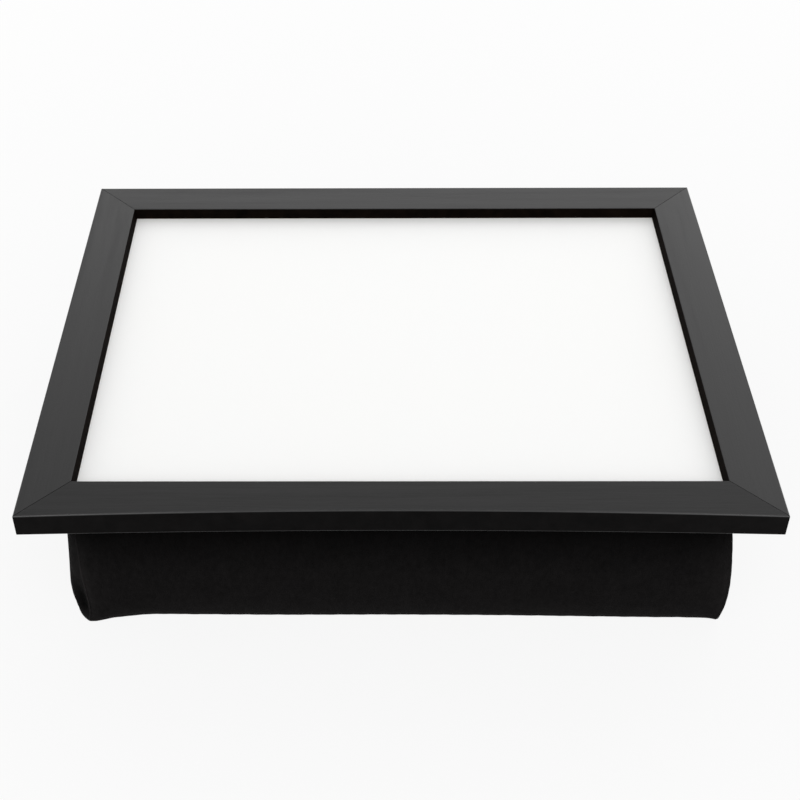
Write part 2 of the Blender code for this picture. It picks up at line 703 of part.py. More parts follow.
def slider_cutters(cutters, slider):
    """The channel for the two coils, left out round the post, and a slit each side for the tapes."""
    tail = -SLIDER_LENGTH / 2 - CUT_OVERRUN
    nose = SLIDER_LENGTH / 2 + CUT_OVERRUN
    post_end = SLIDER_LENGTH / 2 - POST_INSET
    post_half = COIL_PARTING / 2 - GAP
    slit_top = ZIP_TAPE_TOP + GAP
    edge = SLIDER_REACH + CUT_OVERRUN
    boxes = {
        "channel_tail": (
            (tail, -CHANNEL_REACH, CHANNEL_BASE),
            (post_end - POST_LENGTH, CHANNEL_REACH, CHANNEL_TOP),
        ),
        "channel_nose": (
            (post_end, -CHANNEL_REACH, CHANNEL_BASE),
            (nose, CHANNEL_REACH, CHANNEL_TOP),
        ),
        "channel_upper": ((tail, post_half, CHANNEL_BASE), (nose, CHANNEL_REACH, CHANNEL_TOP)),
        "channel_lower": ((tail, -CHANNEL_REACH, CHANNEL_BASE), (nose, -post_half, CHANNEL_TOP)),
        "tape_slit_upper": ((tail, post_half, CHANNEL_BASE), (nose, edge, slit_top)),
        "tape_slit_lower": ((tail, -edge, CHANNEL_BASE), (nose, -post_half, slit_top)),
    }
    for name, (low, high) in boxes.items():
        cutter = as_cutter(object_from(name, box_mesh(name, low, high), cutters, slider))
        cut(slider, cutter)


def bridge_outline():
    """The arch over the slider that holds the pull: x along the slider, y out from its plate."""
    half = BRIDGE_HALF_LENGTH
    foot = SLIDER_TOP - SLIDER_PLATE / 2
    inside = BRIDGE_SPAN / 2
    inner_radius = BRIDGE_RADIUS - BRIDGE_THICKNESS / 2
    corners = [
        (-half, foot, 0),
        (-inside, foot, 0),
        (-inside, BRIDGE_INSIDE, inner_radius),
        (inside, BRIDGE_INSIDE, inner_radius),
        (inside, foot, 0),
        (half, foot, 0),
        (half, BRIDGE_TOP, BRIDGE_RADIUS),
        (-half, BRIDGE_TOP, BRIDGE_RADIUS),
    ]
    return rounded_outline(corners, ROUND_STEPS)


def build_slider(parts, cutters, zip_line):
    half = SLIDER_LENGTH / 2
    corners = [
        (-half, -SLIDER_REACH, SLIDER_TAIL_RADIUS),
        (half, -SLIDER_REACH, SLIDER_NOSE_RADIUS),
        (half, SLIDER_REACH, SLIDER_NOSE_RADIUS),
        (-half, SLIDER_REACH, SLIDER_TAIL_RADIUS),
    ]
    outline = rounded_outline(corners, ROUND_STEPS)
    slider = object_from(
        "zip_slider", outline_mesh("zip_slider", [outline], SLIDER_BASE, SLIDER_TOP), parts, zip_line
    )
    slider.location = (SLIDER_REST, 0, 0)
    give_material(slider, BLACK_ENAMEL)
    round_edges(slider, SLIDER_ROUNDING, segments=1)
    slider_cutters(cutters, slider)
    bridge_mesh = outline_mesh("bridge", [bridge_outline()], -BRIDGE_WIDTH / 2, BRIDGE_WIDTH / 2)
    bridge = as_cutter(object_from("bridge", bridge_mesh, cutters, slider))
    bridge.rotation_euler = (math.pi / 2, 0, 0)
    union = slider.modifiers.new("bridge", "BOOLEAN")
    union.operation = "UNION"
    union.object = bridge
    return slider


def build_pull(parts, slider):
    """The pull lies back along the closed zip, its eye round the bridge."""
    bar = PULL_BAR / 2
    eye_half = PULL_EYE_WIDTH / 2
    end_half = PULL_END_WIDTH / 2
    window_half = BRIDGE_WIDTH / 2 + GAP
    bridge_sweep = math.hypot(BRIDGE_HALF_LENGTH, BRIDGE_TOP - PIVOT_HEIGHT)
    window_end = -bridge_sweep - GAP
    tip = bar - PULL_LENGTH
    outer = [
        (bar, -eye_half, eye_half * PULL_EYE_ROUND_SHARE),
        (bar, eye_half, eye_half * PULL_EYE_ROUND_SHARE),
        (tip, end_half, end_half * PULL_END_ROUND_SHARE),
        (tip, -end_half, end_half * PULL_END_ROUND_SHARE),
    ]
    window = rectangle(window_end, -window_half, -bar, window_half)
    slot_half = PULL_SLOT_WIDTH / 2
    slot_end = tip + end_half - slot_half
    slot_round = PULL_SLOT_WIDTH * PULL_SLOT_ROUND_SHARE
    slot = rectangle(slot_end, -slot_half, slot_end + PULL_SLOT_LENGTH, slot_half, slot_round)
    outlines = [rounded_outline(corners, ROUND_STEPS) for corners in (outer, window, slot)]
    mesh = outline_mesh("zip_pull", outlines, -PULL_THICKNESS / 2, PULL_THICKNESS / 2)
    pull = object_from("zip_pull", mesh, parts, slider)
    pull.location = (0, 0, PIVOT_HEIGHT)
    give_material(pull, BLACK_ENAMEL)
    round_edges(pull, PULL_ROUNDING, segments=1)


def build_tray():
    clear_scene()
    parts = collection_named("breakfast_tray")
    cutters = collection_named("cutters")
    tray = empty_at("tray_lift", (0, 0, RAIL_BASE), (0, 0, 0), parts)
    zip_place = (0, SEAM_HALF_DEPTH, ZIP_HEIGHT)
    zip_line = empty_at("zip_line", zip_place, (math.pi / 2, 0, math.pi), parts)
    build_frame(parts, cutters, tray)
    build_boards(parts, tray)
    build_strips(parts, tray)
    build_cover(parts, cutters)
    build_liner(parts, cutters)
    build_zip_tapes(parts, zip_line)
    slider = build_slider(parts, cutters, zip_line)
    build_pull(parts, slider)


build_tray()
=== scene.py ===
"""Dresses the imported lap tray: mitred rails, a white melamine panel and a bead cushion."""

import math
import random

import bmesh
import bpy
import numpy
from bpy.props import FloatProperty, FloatVectorProperty, IntProperty, PointerProperty
from mathutils import Matrix, Vector


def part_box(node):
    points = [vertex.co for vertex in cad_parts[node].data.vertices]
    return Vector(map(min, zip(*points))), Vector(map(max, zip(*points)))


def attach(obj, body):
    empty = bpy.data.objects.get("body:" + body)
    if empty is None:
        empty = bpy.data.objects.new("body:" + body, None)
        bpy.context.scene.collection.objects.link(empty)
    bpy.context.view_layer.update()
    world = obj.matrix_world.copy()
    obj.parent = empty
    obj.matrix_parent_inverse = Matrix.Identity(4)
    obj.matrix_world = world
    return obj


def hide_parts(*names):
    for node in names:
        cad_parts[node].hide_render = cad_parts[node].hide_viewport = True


bl_info = {
    "name": "Breakfast tray",
    "version": (1, 0, 0),
    "blender": (4, 5, 0),
    "location": "3D View > Sidebar > Tray",
    "description": "Makes a mitred lap tray on a bead cushion",
    "category": "Add Mesh",
}

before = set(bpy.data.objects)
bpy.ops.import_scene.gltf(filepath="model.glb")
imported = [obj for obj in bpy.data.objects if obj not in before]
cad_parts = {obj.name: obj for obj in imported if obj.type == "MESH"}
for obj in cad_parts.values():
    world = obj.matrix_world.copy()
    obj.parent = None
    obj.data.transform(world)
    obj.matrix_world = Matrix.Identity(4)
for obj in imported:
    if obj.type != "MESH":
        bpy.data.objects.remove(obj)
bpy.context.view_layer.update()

RAILS = ("front", "right", "back", "left")
FILM_GLOSS = {"front": 0.25, "right": 0.385, "back": 0.32, "left": 0.34}
CORNERS = [f"{depth}_{side}" for depth in ("front", "back") for side in ("left", "right")]
FILM, OUTER_FILM, BARE_WOOD, INNER_FILM, ARRIS_FILM = range(5)
EDGE_ANGLE = math.radians(35)
FOLD_ANGLE = math.radians(60)


def setting(kind, name, description, value, least=0, **options):
    return kind(name=name, description=description, default=value, min=least, **options)


def length(name, description, metres):
    return setting(FloatProperty, name, description, metres, unit="LENGTH", subtype="DISTANCE")


def colour(name, description, *channels):
    return setting(FloatVectorProperty, name, description, channels, max=1, subtype="COLOR")


def number(name, description, value):
    return setting(FloatProperty, name, description, value)


def family(name, description, kind):
    return PointerProperty(name=name, description=description, type=kind)


class RailSettings(bpy.types.PropertyGroup):
    width: length("Rail width", "Width of a rail seen from above", 0.030)
    web: length("Web width", "Width of a rail below its lip", 0.023)
    lip: length("Lip height", "Height of the lip's underside over the rail's", 0.0083)
    arris: length("Arris", "Radius of the film over the rail's edges", 0.0008)
    inner_arris: length("Inner arris", "Radius of the film over the lip's edge", 0.0004)
    sight_lean: length("Sight lean", "How far the inner wall leans in at its foot", 0.0015)
    gap: length("Mitre gap", "Gap at each mitre and round each fixing", 0.0003)
    rim_hollow: length("Rim hollow", "How far the front rail is drawn in at its rim", 0.0052)
    foot_hollow: length("Foot hollow", "How far the front rail is drawn in at its foot", 0.0034)
    arris_steps: setting(IntProperty, "Arris steps", "Faces round an arris", 8, least=2)
    spans: setting(IntProperty, "Spans", "Faces along a rail", 48, least=2)


class CushionSettings(bpy.types.PropertyGroup):
    top: length("Top height", "Height of the cushion's top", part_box("cushion_cover")[1][2])
    seam_x: length("Seam half width", "Half of the width from corner to corner", 0.201)
    seam_y: length("Seam half depth", "Half of the depth from corner to corner", 0.160)
    back_bulge: length("Back bulge", "How far the back swells past the corners", 0.008)
    right_reach: length("Right reach", "How far the back right corner stands out", 0.0035)
    heel: length("Heel", "How far the back corners stand out at the foot", 0.0055)
    seam_rise: length("Seam rise", "Height of the bottom seam over the floor", 0.0010)
    welt: length("Welt", "Radius of the folded cloth along a seam", 0.0007)
    weave_size: length("Cloth quad", "Side of the cloth's faces before it is smoothed", 0.0045)
    swell_cap: length("Swell cap", "Most that a point of the cloth may move", 0.006)
    pressure: number("Pressure", "How hard the beads push the cloth out", 4)
    seam_groove: length("Seam groove", "Depth of a sewn seam", 0.0003)
    seam_tuck: length("Seam tuck", "Depth of the crease behind an upright seam's foot", 0.0045)


class ZipSettings(bpy.types.PropertyGroup):
    height: length("Zip height", "Height of the zip over the floor", 0.0766)
    pitch: length("Coil pitch", "Length of one turn of a coil", 0.0018)
    wire: length("Coil wire", "Radius of the coils' wire", 0.00032)
    stitch: length("Stitch", "Length of one stitch", 0.0026)
    thread: length("Thread", "Radius of the sewing thread", 0.00022)


class TapeSettings(bpy.types.PropertyGroup):
    hook_pitch: length("Hook pitch", "Distance between hooks", 0.0016)
    loop_pitch: length("Loop pitch", "Distance between loops of the pile", 0.0015)
    bristle: length("Bristle", "Radius of a hook's bristle", 0.00011)
    corner: length("Corner", "Radius of a strip's corners", 0.003)


class ColourSettings(bpy.types.PropertyGroup):
    film: colour("Film", "Satin film on the rails' tops", 0.0062, 0.0060, 0.0062)
    # The outer and inner films are darker copies of the top's film: painted shade on the faces
    # turned away from the light. The inner film's brown is its own tint.
    outer_film: colour("Outer film", "Matt film on the rails' outer faces", 0.0027, 0.0024, 0.0024)
    inner_film: colour("Inner film", "Film on the rails' inner walls", 0.0034, 0.0020, 0.0014)
    wood: colour("Wood", "Bare wood inside the rebate", 0.36, 0.24, 0.14)
    melamine: colour("Melamine", "Face of the panel", 0.93, 0.93, 0.925)
    fibreboard: colour("Fibreboard", "Core of the panel", 0.36, 0.23, 0.13)
    hardboard: colour("Hardboard", "Backing board", 0.20, 0.12, 0.065)
    steel: colour("Steel", "Wedges and tabs", 0.52, 0.52, 0.53)
    cloth: colour("Cloth", "Cushion cover", 0.0058, 0.0053, 0.0053)
    liner: colour("Liner", "Bag that holds the beads", 0.62, 0.61, 0.58)
    tape: colour("Tape", "Hook, loop and zip tapes", 0.0090, 0.0088, 0.0090)
    nylon: colour("Nylon", "Zip coils", 0.0110, 0.0110, 0.0115)
    enamel: colour("Enamel", "Zip slider, pull and stops", 0.0150, 0.0150, 0.0155)
    floor: colour("Floor", "Floor under the tray", 0.75, 0.75, 0.75)


class StageSettings(bpy.types.PropertyGroup):
    sky: number("Sky", "How bright the sky lights the tray", 1.0)
    ceiling: number("Ceiling", "How bright the sky is overhead", 0.38)
    ceiling_foot: number("Ceiling foot", "Height on the sky where it starts to darken", 0.48)
    ceiling_top: number("Ceiling top", "Height on the sky where it is darkest", 0.75)
    key: number("Key", "Strength of the soft lamp over the back", 0.80)
    fill: number("Fill", "Strength of the soft lamp over the front", 1.08)
    lens: number("Lens", "Focal length of the camera in millimetres", 63.744)


class TraySettings(bpy.types.PropertyGroup):
    rails: family("Rails", "Sizes of the rails", RailSettings)
    cushion: family("Cushion", "Sizes of the cushion", CushionSettings)
    zip: family("Zip", "Sizes of the zip", ZipSettings)
    tapes: family("Tapes", "Sizes of hook and loop", TapeSettings)
    colours: family("Colours", "Colours", ColourSettings)
    stage: family("Stage", "Lights and camera", StageSettings)


class Wire:
    """A shader socket. Sums with it add Math nodes."""

    def __init__(self, finish, socket):
        self.finish = finish
        self.socket = socket

    def __add__(self, other):
        return self.finish.sum_of("ADD", self, other)

    def __sub__(self, other):
        return self.finish.sum_of("SUBTRACT", self, other)

    def __rsub__(self, other):
        return self.finish.sum_of("SUBTRACT", other, self)

    def __mul__(self, other):
        return self.finish.sum_of("MULTIPLY", self, other)

    __radd__ = __add__
    __rmul__ = __mul__


class Finish:
    """The nodes of a material or of the world."""

    def __init__(self, owner):
        owner.use_nodes = True
        self.owner = owner
        self.tree = owner.node_tree

    def fill(self, node, sockets):
        for key, value in sockets.items():
            if isinstance(value, Wire):
                self.tree.links.new(value.socket, node.inputs[key])
            else:
                node.inputs[key].default_value = value

    def node(self, kind, settings, sockets, output=0):
        """Adds a node with its settings, then its sockets, and gives one output."""
        node = self.tree.nodes.new("ShaderNode" + kind)
        for key, value in settings.items():
            setattr(node, key, value)
        self.fill(node, sockets)
        return Wire(self, node.outputs[output])

    def sum_of(self, operation, first, second):
        return self.node("Math", {"operation": operation}, {0: first, 1: second})

    def place(self, stretch=(1, 1, 1)):
        """Points on the piece, in metres, squeezed along some axes."""
        points = self.node("TexCoord", {}, {}, "Object")
        if stretch == (1, 1, 1):
            return points
        return self.node("VectorMath", {"operation": "MULTIPLY"}, {0: points, 1: stretch})

    def cloud(self, size, stretch=(1, 1, 1), detail=2.0, roughness=0.5):
        """Noise whose patches are as large as size."""
        sockets = {
            "Vector": self.place(stretch),
            "Scale": 1 / size,
            "Detail": detail,
            "Roughness": roughness,
        }
        return self.node("TexNoise", {}, sockets, "Fac")

    def cells(self, density, output):
        """Cells packed side by side, so many to the metre."""
        return self.node("TexVoronoi", {}, {"Vector": self.place(), "Scale": density}, output)

    def stripes(self, pitch, direction, distortion=0.0):
        """Ridges across an axis, one every pitch."""
        settings = {"wave_type": "BANDS", "bands_direction": direction, "wave_profile": "SIN"}
        sockets = {
            "Vector": self.place(),
            "Scale": math.pi / (10 * pitch),
            "Distortion": distortion,
            "Detail": 0,
        }
        return self.node("TexWave", settings, sockets, "Fac")

    def between(self, share, low, high):
        """Stretches the part of a share from low to high to run from 0 to 1."""
        return self.node("MapRange", {}, {"Value": share, "From Min": low, "From Max": high})

    def toward_ends(self, along, start, end):
        """0 up to a distance from the tray's middle along an axis, and 1 past another."""
        reach = self.node("SeparateXYZ", {}, {"Vector": self.place()}, along)
        distance = self.node("Math", {"operation": "ABSOLUTE"}, {0: reach})
        return self.between(distance, start, end)

    def marked(self, name):
        """What the mesh stores for each point under a name."""
        return self.node("Attribute", {"attribute_name": name}, {}, "Fac")

    def tint(self, share, first, second):
        colours = {0: share, 6: (*first, 1), 7: (*second, 1)}
        return self.node("Mix", {"data_type": "RGBA"}, colours, output=2)

    def tones(self, share, base, dark, light):
        """A colour that runs from a darker to a lighter share of its base."""
        return self.tint(share, shaded(base, dark), shaded(base, light))

    def bumps(self, height, depth):
        return self.node("Bump", {}, {"Height": height, "Distance": depth}, "Normal")

    def surface(self, **sockets):
        """Fills the Principled BSDF's sockets, given with _ for a space."""
        named = {key.replace("_", " "): value for key, value in sockets.items()}
        if not isinstance(named["Base Color"], Wire):
            named["Base Color"] = (*named["Base Color"], 1)
        self.fill(self.tree.nodes["Principled BSDF"], named)
        return self.owner


def new_finish(name):
    return Finish(bpy.data.materials.new(name))


def shaded(base, factor):
    return tuple(min(1, channel * factor) for channel in base)


def satin_film(name, base, along, gloss):
    """Black film printed with a faint lengthwise grain, and satin like a brushed lacquer."""
    finish = new_finish(name)
    stretch = (0.035, 1, 1) if along == "X" else (1, 0.035, 1)
    streaks = finish.cloud(0.0011, stretch, detail=4, roughness=0.65)
    bands = finish.cloud(0.0055, stretch)
    broad = finish.cloud(0.030, stretch, detail=1)
    peel = finish.cloud(0.0016, detail=1)
    grain = finish.between(0.5 * streaks + 0.5 * bands, 0.36, 0.64)
    return finish.surface(
        Base_Color=finish.tones(grain, base, 0.25, 1.90),
        Roughness=0.25 + 0.16 * grain + 0.12 * broad,
        Specular_IOR_Level=gloss,
        Normal=finish.bumps(0.75 * streaks + 0.25 * peel, 0.00008),
    )


def matt_film(name, base, along, dark_share, gloss):
    """The film where it wraps round to the sides: duller and scuffed, and painted lighter towards
    its ends as a highlight.
    """
    finish = new_finish(name)
    patches = finish.between(finish.cloud(0.010, detail=4, roughness=0.65), 0.35, 0.70)
    fine = finish.cloud(0.0007)
    # Random scuffs, and a painted highlight that lightens the film towards the ends.
    lighter_share = 0.75 * patches + 0.35 * finish.toward_ends(along, 0.12, 0.225)
    return finish.surface(
        Base_Color=finish.tones(lighter_share, base, dark_share, 1.6),
        Roughness=0.62 + 0.15 * fine,
        Specular_IOR_Level=gloss,
        Normal=finish.bumps(fine, 0.00004),
    )


def arris_with_painted_highlight(name, base, along):
    """The film over a rail's edge: glossier, and painted lighter as a highlight, most of all near
    the corners.
    """
    finish = new_finish(name)
    highlight_patches = finish.cloud(0.012, detail=3)
    # Painted highlight: the edge's colour lightens towards the tray's corners.
    painted_highlight = finish.toward_ends(along, 0.09, 0.22) * 0.8 + 0.2 * highlight_patches
    return finish.surface(
        Base_Color=finish.tint(painted_highlight, base, shaded(base, 3.0)),
        Roughness=0.62 - 0.45 * painted_highlight,
        Specular_IOR_Level=0.55,
        Normal=finish.bumps(finish.cloud(0.0016, detail=1), 0.00002),
    )


def bare_wood(base):
    finish = new_finish("bare_wood")
    grain = finish.cloud(0.0022, (0.12, 0.12, 1), detail=5, roughness=0.6)
    pores = finish.cloud(0.0006, (0.3, 0.3, 1))
    shade = finish.tones(finish.between(grain, 0.3, 0.7), base, 0.6, 1.15)
    normal = finish.bumps(pores, 0.0001)
    return finish.surface(Base_Color=shade, Roughness=0.75 + 0.15 * pores, Normal=normal)


def white_melamine(base):
    """Pressed melamine: almost even, with a fine orange peel and faint warm and cool drifts."""
    finish = new_finish("white_melamine")
    peel = finish.cloud(0.0009)
    warm = tuple(channel * drop for channel, drop in zip(base, (1.0, 0.998, 0.990)))
    return finish.surface(
        Base_Color=finish.tint(finish.cloud(0.12, detail=1), warm, base),
        Roughness=0.36 + 0.10 * peel,
        Specular_IOR_Level=0.4,
        Normal=finish.bumps(peel, 0.00002),
    )


def pressed_board(name, base, screen=None):
    """Pressed fibres, and on the rough side the print of the wire screen that they dried on."""
    finish = new_finish(name)
    fibres = finish.cloud(0.0012, (1, 0.35, 1), detail=6, roughness=0.7)
    share = finish.between(0.7 * fibres + 0.3 * finish.cloud(0.025), 0.3, 0.7)
    height = fibres
    if screen:
        height = 0.4 * fibres + finish.stripes(screen, "X") * finish.stripes(screen, "Y")
    return finish.surface(
        Base_Color=finish.tones(share, base, 0.55, 1.25),
        Roughness=0.70 + 0.20 * fibres,
        Normal=finish.bumps(height, 0.0002),
    )


def sheared_steel(base):
    """Galvanised strip: spangled, brushed by the rolls and dulled where it was pressed."""
    finish = new_finish("sheared_steel")
    spangle = finish.node("RGBToBW", {}, {"Color": finish.cells(700, "Color")})
    scratches = finish.cloud(0.0006, (0.08, 1, 1), detail=3)
    return finish.surface(
        Base_Color=finish.tones(spangle, base, 0.75, 1.15),
        Metallic=1.0,
        Roughness=0.28 + 0.22 * scratches,
        Normal=finish.bumps(scratches, 0.00002),
    )


# Heights of the painted shade under the rail's overhang, and of the band below the top seam where
# it fades out again.
RAIL_SHADE_BAND, ABOVE_RAIL_SHADE = (0.045, 0.079), (0.084, 0.091)
LIGHTEST_CLOTH = 3.2


def brushed_cloth(base):
    """Brushed polyester: a short nap that lies in patches over a fine plain weave.

    It is painted lighter near the seams as a highlight, and painted darker in the tucks by the
    upright seams' feet and under the rail's overhang as shade."""
    finish = new_finish("brushed_cloth")
    nap = finish.cloud(0.0007, (1, 1, 0.55), detail=3, roughness=0.7)
    tufts = finish.cloud(0.0030, (1, 1, 0.6), detail=3, roughness=0.6)
    patches = finish.cloud(0.014, (1, 1, 0.7), detail=3, roughness=0.6)
    laid = finish.between(0.45 * tufts + 0.25 * patches + 0.30 * nap, 0.36, 0.64)
    height = finish.node("SeparateXYZ", {}, {"Vector": finish.place()}, "Z")
    # Painted shade: a band below the rail's overhang, where its shadow falls.
    painted_rail_shade = finish.between(height, *RAIL_SHADE_BAND) - finish.between(height, *ABOVE_RAIL_SHADE)
    # Painted highlight: lighter near the seams, the foot included, and lighter still on the welts.
    level = (0.68 + 0.64 * laid) * (1 + 0.75 * finish.marked("painted_highlight"))
    # Painted shade: darker under the rail's overhang and in the creases by the upright seams'
    # feet.
    level = level * (1 - 0.72 * painted_rail_shade) * (1 - 0.80 * finish.marked("tuck_painted_shade"))
    level = 1 / LIGHTEST_CLOTH * level
    weave = finish.stripes(0.0008, "DIAGONAL", 1.5)
    return finish.surface(
        Base_Color=finish.tint(level, (0, 0, 0), shaded(base, LIGHTEST_CLOTH)),
        Roughness=0.88 + 0.10 * nap,
        Specular_IOR_Level=0.03,
        Sheen_Weight=0.008,
        Sheen_Roughness=0.4,
        Normal=finish.bumps(0.85 * nap + 0.15 * weave, 0.0004),
    )


def cotton_cloth(base):
    """Plain cotton drawn tight over the beads."""
    finish = new_finish("liner_cotton")
    weave = finish.stripes(0.0006, "X", 1.0) * finish.stripes(0.0006, "Z", 1.0)
    creases = finish.cloud(0.02, detail=3)
    beads = 1 - finish.cells(300, "Distance")
    return finish.surface(
        Base_Color=finish.tones(creases, base, 0.82, 1.08),
        Roughness=0.85 + 0.1 * weave,
        Normal=finish.bumps(0.3 * weave + 1.6 * beads, 0.0007),
    )


def woven_tape(name, base, rib, across):
    """Narrow woven tape, ribbed along its length and crossed by a finer weft."""
    finish = new_finish(name)
    ribs = finish.stripes(rib, across, 0.8)
    weft = finish.stripes(rib * 0.7, "X", 1.2)
    fuzz = finish.cloud(0.0004)
    return finish.surface(
        Base_Color=finish.tones(ribs * weft, base, 0.7, 1.7),
        Roughness=0.80 + 0.15 * fuzz,
        Specular_IOR_Level=0.25,
        Normal=finish.bumps(0.5 * ribs + 0.3 * weft + 0.2 * fuzz, 0.0002),
    )


def drawn_nylon(name, base, roughness):
    """Drawn bristle: smooth, with fine draw lines and a dusty drift in its gloss."""
    finish = new_finish(name)
    lines = finish.cloud(0.0003, (0.3, 1, 1), detail=1)
    dust = finish.cloud(0.012, detail=3)
    return finish.surface(
        Base_Color=finish.tones(dust, base, 0.8, 1.6),
        Roughness=roughness + 0.15 * dust,
        Normal=finish.bumps(lines, 0.00002),
    )


def worn_enamel(base, steel):
    """Black enamel over a zinc casting, rubbed through in small scuffs."""
    finish = new_finish("worn_enamel")
    lighter_share = finish.between(finish.cloud(0.0014, detail=6, roughness=0.72), 0.66, 0.70)
    peel = finish.cloud(0.0005, detail=1)
    return finish.surface(
        Base_Color=finish.tint(lighter_share, base, steel),
        Metallic=lighter_share,
        Roughness=0.26 + 0.14 * peel,
        Coat_Weight=0.4 * (1 - lighter_share),
        Coat_Roughness=0.15,
        Normal=finish.bumps(peel, 0.00002),
    )


def twisted_thread(base):
    finish = new_finish("twisted_thread")
    twist = finish.stripes(0.0005, "DIAGONAL", 0.4)
    return finish.surface(
        Base_Color=finish.tones(twist, base, 0.8, 2.2),
        Roughness=0.55 + 0.15 * twist,
        Normal=finish.bumps(twist, 0.0001),
    )


def mesh_from(name, points, faces, smooth=True):
    mesh = bpy.data.meshes.new(name)
    mesh.from_pydata([tuple(point) for point in points], [], faces)
    work = bmesh.new()
    work.from_mesh(mesh)
    bmesh.ops.recalc_face_normals(work, faces=work.faces)
    for face in work.faces:
        face.smooth = smooth
    work.to_mesh(mesh)
    work.free()
    return mesh


def linked(name, data):
    """A new object in the scene."""
    obj = bpy.data.objects.new(name, data)
    bpy.context.scene.collection.objects.link(obj)
    return obj


def hand_over(piece, body, nodes):
    """Puts a piece on its body, in place of the CAD nodes that it stands for."""
    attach(piece, body)
    if nodes:
        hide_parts(*nodes)


def new_piece(name, shape, finish, body, slot, *nodes, smooth=True):
    """Makes a finished piece from points and faces, and puts it on its body."""
    mesh = mesh_from(name, *shape, smooth=smooth)
    mesh.materials.append(finish)
    piece = linked(name, mesh)
    hand_over(piece, body, nodes)
    return piece


def corners_of(node):
    """The low and the high corner of a CAD node's box."""
    return (Vector(corner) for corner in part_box(node))


def settle(piece):
    """Makes the result of a piece's modifiers its own mesh."""
    evaluated = piece.evaluated_get(bpy.context.evaluated_depsgraph_get())
    mesh = bpy.data.meshes.new_from_object(evaluated)
    piece.modifiers.clear()
    piece.data = mesh
    return mesh


def smooth_over(piece):
    """Rounds a piece off by one level of subdivision."""
    smooth = piece.modifiers.new("smooth", "SUBSURF")
    smooth.levels = 1
    smooth.render_levels = 1


def dress(node, finish, bevel=0.0):
    """Gives a CAD node its finish, and softens its edges."""
    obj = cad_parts[node]
    obj.data.materials.clear()
    obj.data.materials.append(finish)
    if bevel:
        soft = obj.modifiers.new("soft_edges", "BEVEL")
        soft.width = bevel
        soft.segments = 2
        soft.limit_method = "ANGLE"
        soft.angle_limit = EDGE_ANGLE
        soft.use_clamp_overlap = True


def ring_faces(rings, count, caps=True):
    """The quads between rings of so many points each, and a face over each end."""
    faces = []
    for ring in range(rings - 1):
        for index in range(count):
            here, there = ring * count + index, ring * count + (index + 1) % count
            faces.append((here, there, there + count, here + count))
    if caps:
        faces.append(tuple(range(count)))
        faces.append(tuple(range((rings - 1) * count, rings * count)))
    return faces


def rounded_corners(corners, steps):
    """Points of an outline of (x, y, radius, finish of the arc, finish of the side after it)."""
    points = []
    for index, (x, y, radius, arc_finish, finish) in enumerate(corners):
        here = Vector((x, y))
        if not radius:
            points.append((here, finish))
            continue
        before = (Vector(corners[index - 1][:2]) - here).normalized()
        after = (Vector(corners[(index + 1) % len(corners)][:2]) - here).normalized()
        half_angle = before.angle(after) / 2
        centre = here + (before + after).normalized() * radius / math.sin(half_angle)
        start = here + before * radius / math.tan(half_angle) - centre
        turn = (2 * half_angle - math.pi) * math.copysign(1, before.cross(after))
        for step in range(steps + 1):
            point = centre + Matrix.Rotation(turn * step / steps, 2) @ start
            points.append((point, finish if step == steps else arc_finish))
    return points


CORNER_STEPS = 5


def rounded_rectangle(low, high, radius):
    """Points round a rectangle with rounded corners."""
    spots = ((low[0], low[1]), (high[0], low[1]), (high[0], high[1]), (low[0], high[1]))
    corners = [(x, y, radius, FILM, FILM) for x, y in spots]
    return [point for point, finish in rounded_corners(corners, CORNER_STEPS)]


def rail_section(sizes, height):
    corners = [
        (0, 0, sizes.arris, FILM, INNER_FILM),
        (sizes.web, 0, 0, FILM, BARE_WOOD),
        (sizes.web, sizes.lip, 0, FILM, BARE_WOOD),
        (sizes.width + sizes.sight_lean, sizes.lip, 0, FILM, INNER_FILM),
        (sizes.width, height, sizes.inner_arris, FILM, FILM),
        (0, height, sizes.arris, ARRIS_FILM, OUTER_FILM),
    ]
    return rounded_corners(corners, sizes.arris_steps)


def rail_shape(name, sizes, quarter, hollow):
    """A rail's mesh in place: its section swept from mitre to mitre."""
    low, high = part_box("rail_" + name)
    height = high[2] - low[2]
    section = rail_section(sizes, height)
    mitre = sizes.gap / math.sqrt(2)
    half = max(high[0] - low[0], high[1] - low[1]) / 2 + mitre
    axis = 1 - quarter % 2
    reach = max(abs(low[axis]), abs(high[axis]))
    turn = Matrix.Rotation(quarter * math.pi / 2, 2)
    points = []
    for station in range(sizes.spans + 1):
        share = 2 * station / sizes.spans - 1
        for (x, z), finish in section:
            along = share * (half - x - mitre)
            on_outer_face = x < sizes.arris * 1.01
            if on_outer_face:
                depth = hollow[0] + (hollow[1] - hollow[0]) * z / height
                x += depth * (1 - (along / half) ** 2)
                along = share * (half - x - mitre)
            flat = turn @ Vector((along, x - reach))
            points.append((flat.x, flat.y, low[2] + z))
    mesh = mesh_from(name + "_rail", points, ring_faces(sizes.spans + 1, len(section)))
    finishes = [finish for point, finish in section] * sizes.spans
    mesh.polygons.foreach_set("material_index", [*finishes, INNER_FILM, INNER_FILM])
    return mesh


def sharpen(mesh, angle):
    """Marks the edges that turn by more than an angle."""
    work = bmesh.new()
    work.from_mesh(mesh)
    for edge in work.edges:
        edge.smooth = len(edge.link_faces) == 2 and edge.calc_face_angle(0) < angle
    work.to_mesh(mesh)
    work.free()


WEDGE_THICKNESS = 0.0005
SLOT_OVERCUT = 0.002


